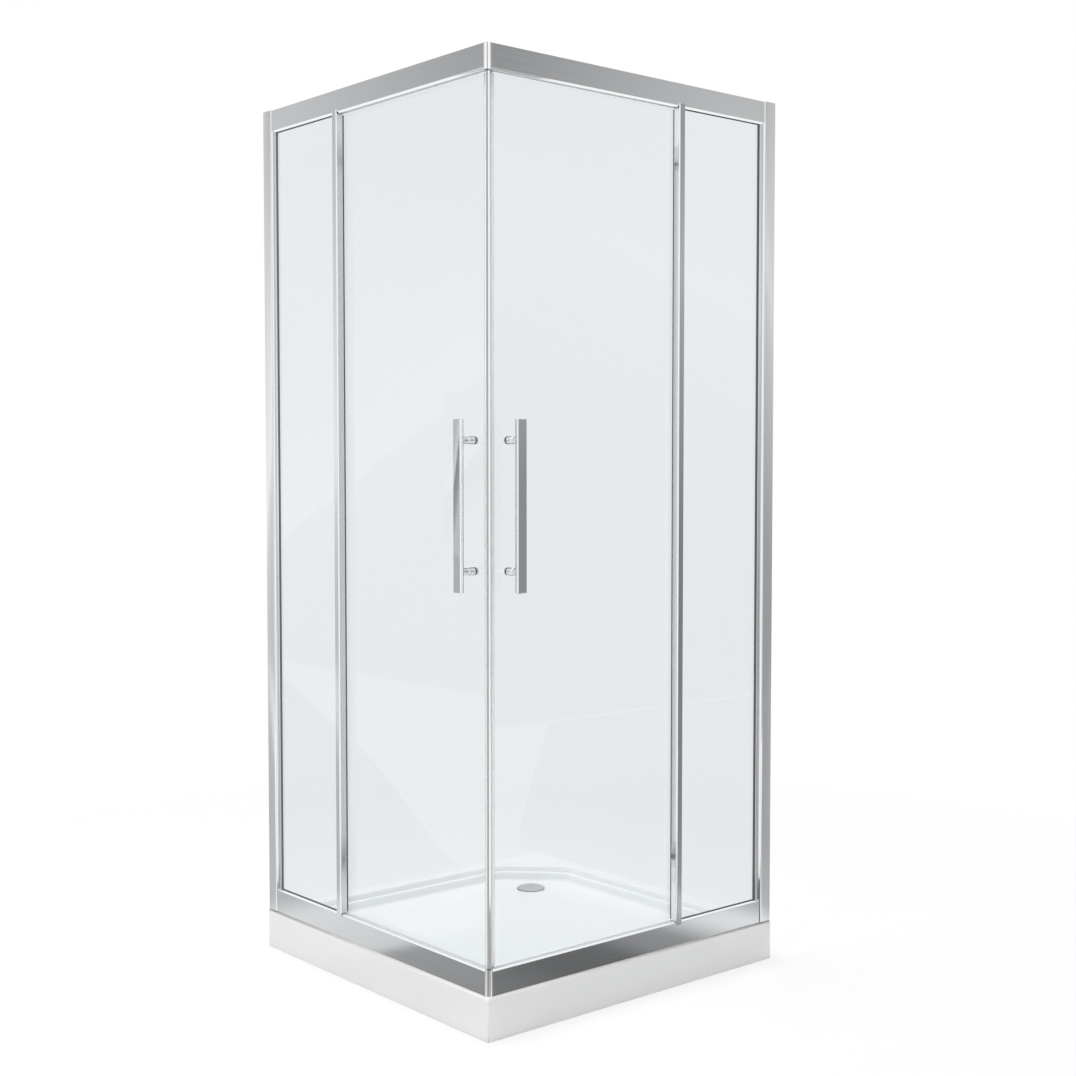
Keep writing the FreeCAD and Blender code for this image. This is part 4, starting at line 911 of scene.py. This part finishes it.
for height in post_heights:
    posts.append(turned("handle post", post_profile, (post_middle, post_low[1], height)))
    caps.append(turned("handle cap", cap_profile, (post_middle, cap_low[1], height)))
left_posts = join(posts, "left_handle_turned_posts")
left_caps = join(caps, "left_handle_turned_caps")
right_posts = other_side(left_posts, "right_handle_turned_posts")
right_caps = other_side(left_caps, "right_handle_turned_caps")
take_place(left_posts, "left_handle_posts", post_highlight_chrome)
take_place(right_posts, "right_handle_posts", post_highlight_chrome)
# Painted dark reflection on the upper and lower bands of the posts, round a painted highlight in the middle.
for piece in (left_posts, right_posts):
    finish_faces(piece, dark_reflection_chrome, lambda normal, center: abs(normal.z) > POST_TOP_LEAN)
take_place(left_caps, "left_handle_caps", handle_chrome)
take_place(right_caps, "right_handle_caps", handle_chrome)


# Shower tray: one sheet of white sanitary acrylic drawn over a mould, with a soft gloss and the
# slight orange peel of a drawn sheet. Light goes a little way into the sheet, which softens its
# shadows. A foam core below it carries the weight.

ACRYLIC_COLOUR = "F5F6F6"
ACRYLIC_ROUGHNESS = (0.27, 0.29)
ACRYLIC_DEPTH_SHARE = 0.5
ACRYLIC_DEPTH_MM = 10.0
ACRYLIC_DARK_SHARE = 0.985
ORANGE_PEEL_MM = 5.0
ORANGE_PEEL_HEIGHT_MM = 0.008
DRAWN_WAVE_MM = 220.0
FOAM_COLOUR = "E9E7E0"
FOAM_BEAD_MM = 4.0
FOAM_BEAD_HEIGHT_MM = 0.3
FOAM_DARK_SHARE = 0.8
FOAM_EDGE_MM = 1.5


def sanitary_acrylic(name, hex_colour):
    """Drawn white acrylic: bright, glossy and very slightly uneven."""
    material, tree = new_material(name)
    place = add_node(tree, "ShaderNodeTexCoord").outputs["Object"]
    scale = 1000 / ORANGE_PEEL_MM
    peel = add_node(tree, "ShaderNodeTexNoise", {"Vector": place, "Scale": scale, "Detail": 2.0})
    scale = 1000 / DRAWN_WAVE_MM
    broad = add_node(tree, "ShaderNodeTexNoise", {"Vector": place, "Scale": scale, "Detail": 0.0})
    dark, pale = toned(hex_colour, ACRYLIC_DARK_SHARE), to_linear(hex_colour)
    colour = add_node(tree, "ShaderNodeMix", {"Factor": broad.outputs[0], 6: dark, 7: pale}, data_type="RGBA")
    low, high = ACRYLIC_ROUGHNESS
    rough = add_node(tree, "ShaderNodeMapRange", {0: broad.outputs[0], 1: 0.0, 2: 1.0, 3: low, 4: high})
    gloss = add_node(
        tree,
        "ShaderNodeBsdfPrincipled",
        {
            "Base Color": colour.outputs[2],
            "Roughness": rough.outputs[0],
            "IOR": 1.49,
            "Subsurface Weight": ACRYLIC_DEPTH_SHARE,
            "Subsurface Radius": (1.0, 1.0, 1.0),
            "Subsurface Scale": ACRYLIC_DEPTH_MM * MM,
        },
    )
    finish_material(tree, gloss, peel.outputs[0], ORANGE_PEEL_HEIGHT_MM * MM)
    return material


def bead_foam(name, hex_colour):
    """Expanded bead foam: matt, off-white, with the outlines of its beads."""
    material, tree = new_material(name)
    place = add_node(tree, "ShaderNodeTexCoord").outputs["Object"]
    beads = add_node(tree, "ShaderNodeTexVoronoi", {"Vector": place, "Scale": 1000 / FOAM_BEAD_MM})
    away = beads.outputs["Distance"]
    dark, pale = toned(hex_colour, FOAM_DARK_SHARE), to_linear(hex_colour)
    colour = add_node(tree, "ShaderNodeMix", {"Factor": away, 6: pale, 7: dark}, data_type="RGBA")
    foam = add_node(
        tree,
        "ShaderNodeBsdfPrincipled",
        {"Base Color": colour.outputs[2], "Roughness": 0.85, "IOR": 1.45},
    )
    finish_material(tree, foam, away, FOAM_BEAD_HEIGHT_MM * MM)
    return material


acrylic = sanitary_acrylic("drawn white sanitary acrylic", ACRYLIC_COLOUR)
tray = merged_copy("shower_tray_moulding", "shower_tray")
smooth_round_parts(tray)
take_place(tray, "shower_tray", acrylic)
finish_node("tray_core", bead_foam("expanded bead foam", FOAM_COLOUR), FOAM_EDGE_MM)


# Waste outlet: a brushed steel cover disc that lifts out of a pressed steel flange, with a rubber
# gasket, a plastic back nut and a plastic body below the tray floor.

COVER_COLOUR = "D2D4D6"
STEEL_COLOUR = "C9CBCC"
BRUSH_PITCH_MM = 1.5
BRUSH_RUN_MM = 60.0
BRUSH_HEIGHT_MM = 0.01
BRUSH_DARK_SHARE = 0.9
BRUSH_ROUGHNESS = (0.28, 0.40)
SPARK_GRAIN_MM = 1.2
SPARK_GRAIN_HEIGHT_MM = 0.02
MOULD_FLOW_MM = 40.0
MOULD_DARK_SHARE = 0.94
COVER_EDGE_MM = 0.5
PRESSED_EDGE_MM = 0.3
MOULDED_EDGE_MM = 0.5
NUT_COLOUR = "2B2C2E"
BODY_COLOUR = "E8E8E6"
GASKET_COLOUR = "1E1F20"


def brushed_steel(name, hex_colour):
    """Brushed stainless steel: a satin grey with short fine lines."""
    # Real brush lines are some 0.2 mm apart; they are drawn 1.5 mm apart so that they can show.
    material, tree = new_material(name)
    lines = stretched_noise(tree, "X", BRUSH_PITCH_MM, BRUSH_RUN_MM, detail=3.0)
    dark, pale = toned(hex_colour, BRUSH_DARK_SHARE), to_linear(hex_colour)
    colour = add_node(tree, "ShaderNodeMix", {"Factor": lines, 6: dark, 7: pale}, data_type="RGBA")
    low, high = BRUSH_ROUGHNESS
    rough = add_node(tree, "ShaderNodeMapRange", {0: lines, 1: 0.3, 2: 0.7, 3: low, 4: high})
    steel = add_node(
        tree,
        "ShaderNodeBsdfPrincipled",
        {"Base Color": colour.outputs[2], "Metallic": 1.0, "Roughness": rough.outputs[0]},
    )
    finish_material(tree, steel, lines, BRUSH_HEIGHT_MM * MM)
    return material


def moulded_plastic(name, hex_colour, roughness):
    """Moulded plastic: an even colour with a fine spark-eroded texture."""
    # The real texture is some 0.1 mm fine; it is drawn 1.2 mm coarse so that it can show.
    material, tree = new_material(name)
    place = add_node(tree, "ShaderNodeTexCoord").outputs["Object"]
    scale = 1000 / SPARK_GRAIN_MM
    grain = add_node(tree, "ShaderNodeTexNoise", {"Vector": place, "Scale": scale, "Detail": 2.0})
    scale = 1000 / MOULD_FLOW_MM
    broad = add_node(tree, "ShaderNodeTexNoise", {"Vector": place, "Scale": scale, "Detail": 1.0})
    dark, pale = toned(hex_colour, MOULD_DARK_SHARE), to_linear(hex_colour)
    colour = add_node(tree, "ShaderNodeMix", {"Factor": broad.outputs[0], 6: dark, 7: pale}, data_type="RGBA")
    rough = add_node(
        tree,
        "ShaderNodeMapRange",
        {0: grain.outputs[0], 1: 0.3, 2: 0.7, 3: roughness - 0.06, 4: roughness + 0.06},
    )
    plastic = add_node(
        tree,
        "ShaderNodeBsdfPrincipled",
        {"Base Color": colour.outputs[2], "Roughness": rough.outputs[0], "IOR": 1.5},
    )
    finish_material(tree, plastic, grain.outputs[0], SPARK_GRAIN_HEIGHT_MM * MM)
    return material


steel = brushed_steel("brushed stainless steel", STEEL_COLOUR)
cover_steel = brushed_steel("satin stainless steel, cover", COVER_COLOUR)
finish_node("waste_cover", cover_steel, COVER_EDGE_MM, steps=3)
finish_node("waste_flange", steel, PRESSED_EDGE_MM)
finish_node("waste_gasket", soft_strip("moulded black rubber", GASKET_COLOUR, 0.7), PRESSED_EDGE_MM)
finish_node("waste_nut", moulded_plastic("moulded dark nylon", NUT_COLOUR, 0.5), MOULDED_EDGE_MM)
finish_node("waste_body", moulded_plastic("moulded white polypropylene", BODY_COLOUR, 0.4), MOULDED_EDGE_MM)


# Running gear and screws: turned nylon wheels on steel bolts at the top of each door, smaller wheels
# on sprung releases in moulded brackets at the bottom, and pan-head screws in the wall posts.

NYLON_COLOUR = "EDECE8"
BRACKET_COLOUR = "8B8E91"
WHEEL_EDGE_MM = 0.3
BRACKET_EDGE_MM = 0.5
BOLT_EDGE_MM = 0.3
nylon = moulded_plastic("turned white nylon", NYLON_COLOUR, 0.35)
bracket_plastic = moulded_plastic("moulded grey acetal", BRACKET_COLOUR, 0.4)
finish_node("post_screws", steel, BOLT_EDGE_MM)
for side in SIDES:
    finish_node(side + "_hanger_bolts", handle_chrome, BOLT_EDGE_MM)
    finish_node(side + "_bottom_brackets", bracket_plastic, BRACKET_EDGE_MM)
    for end in ("rear", "front"):
        finish_node(side + "_" + end + "_release", bracket_plastic, BRACKET_EDGE_MM)
        finish_node(side + "_top_" + end + "_wheel", nylon, WHEEL_EDGE_MM)
        finish_node(side + "_bottom_" + end + "_wheel", nylon, WHEEL_EDGE_MM)
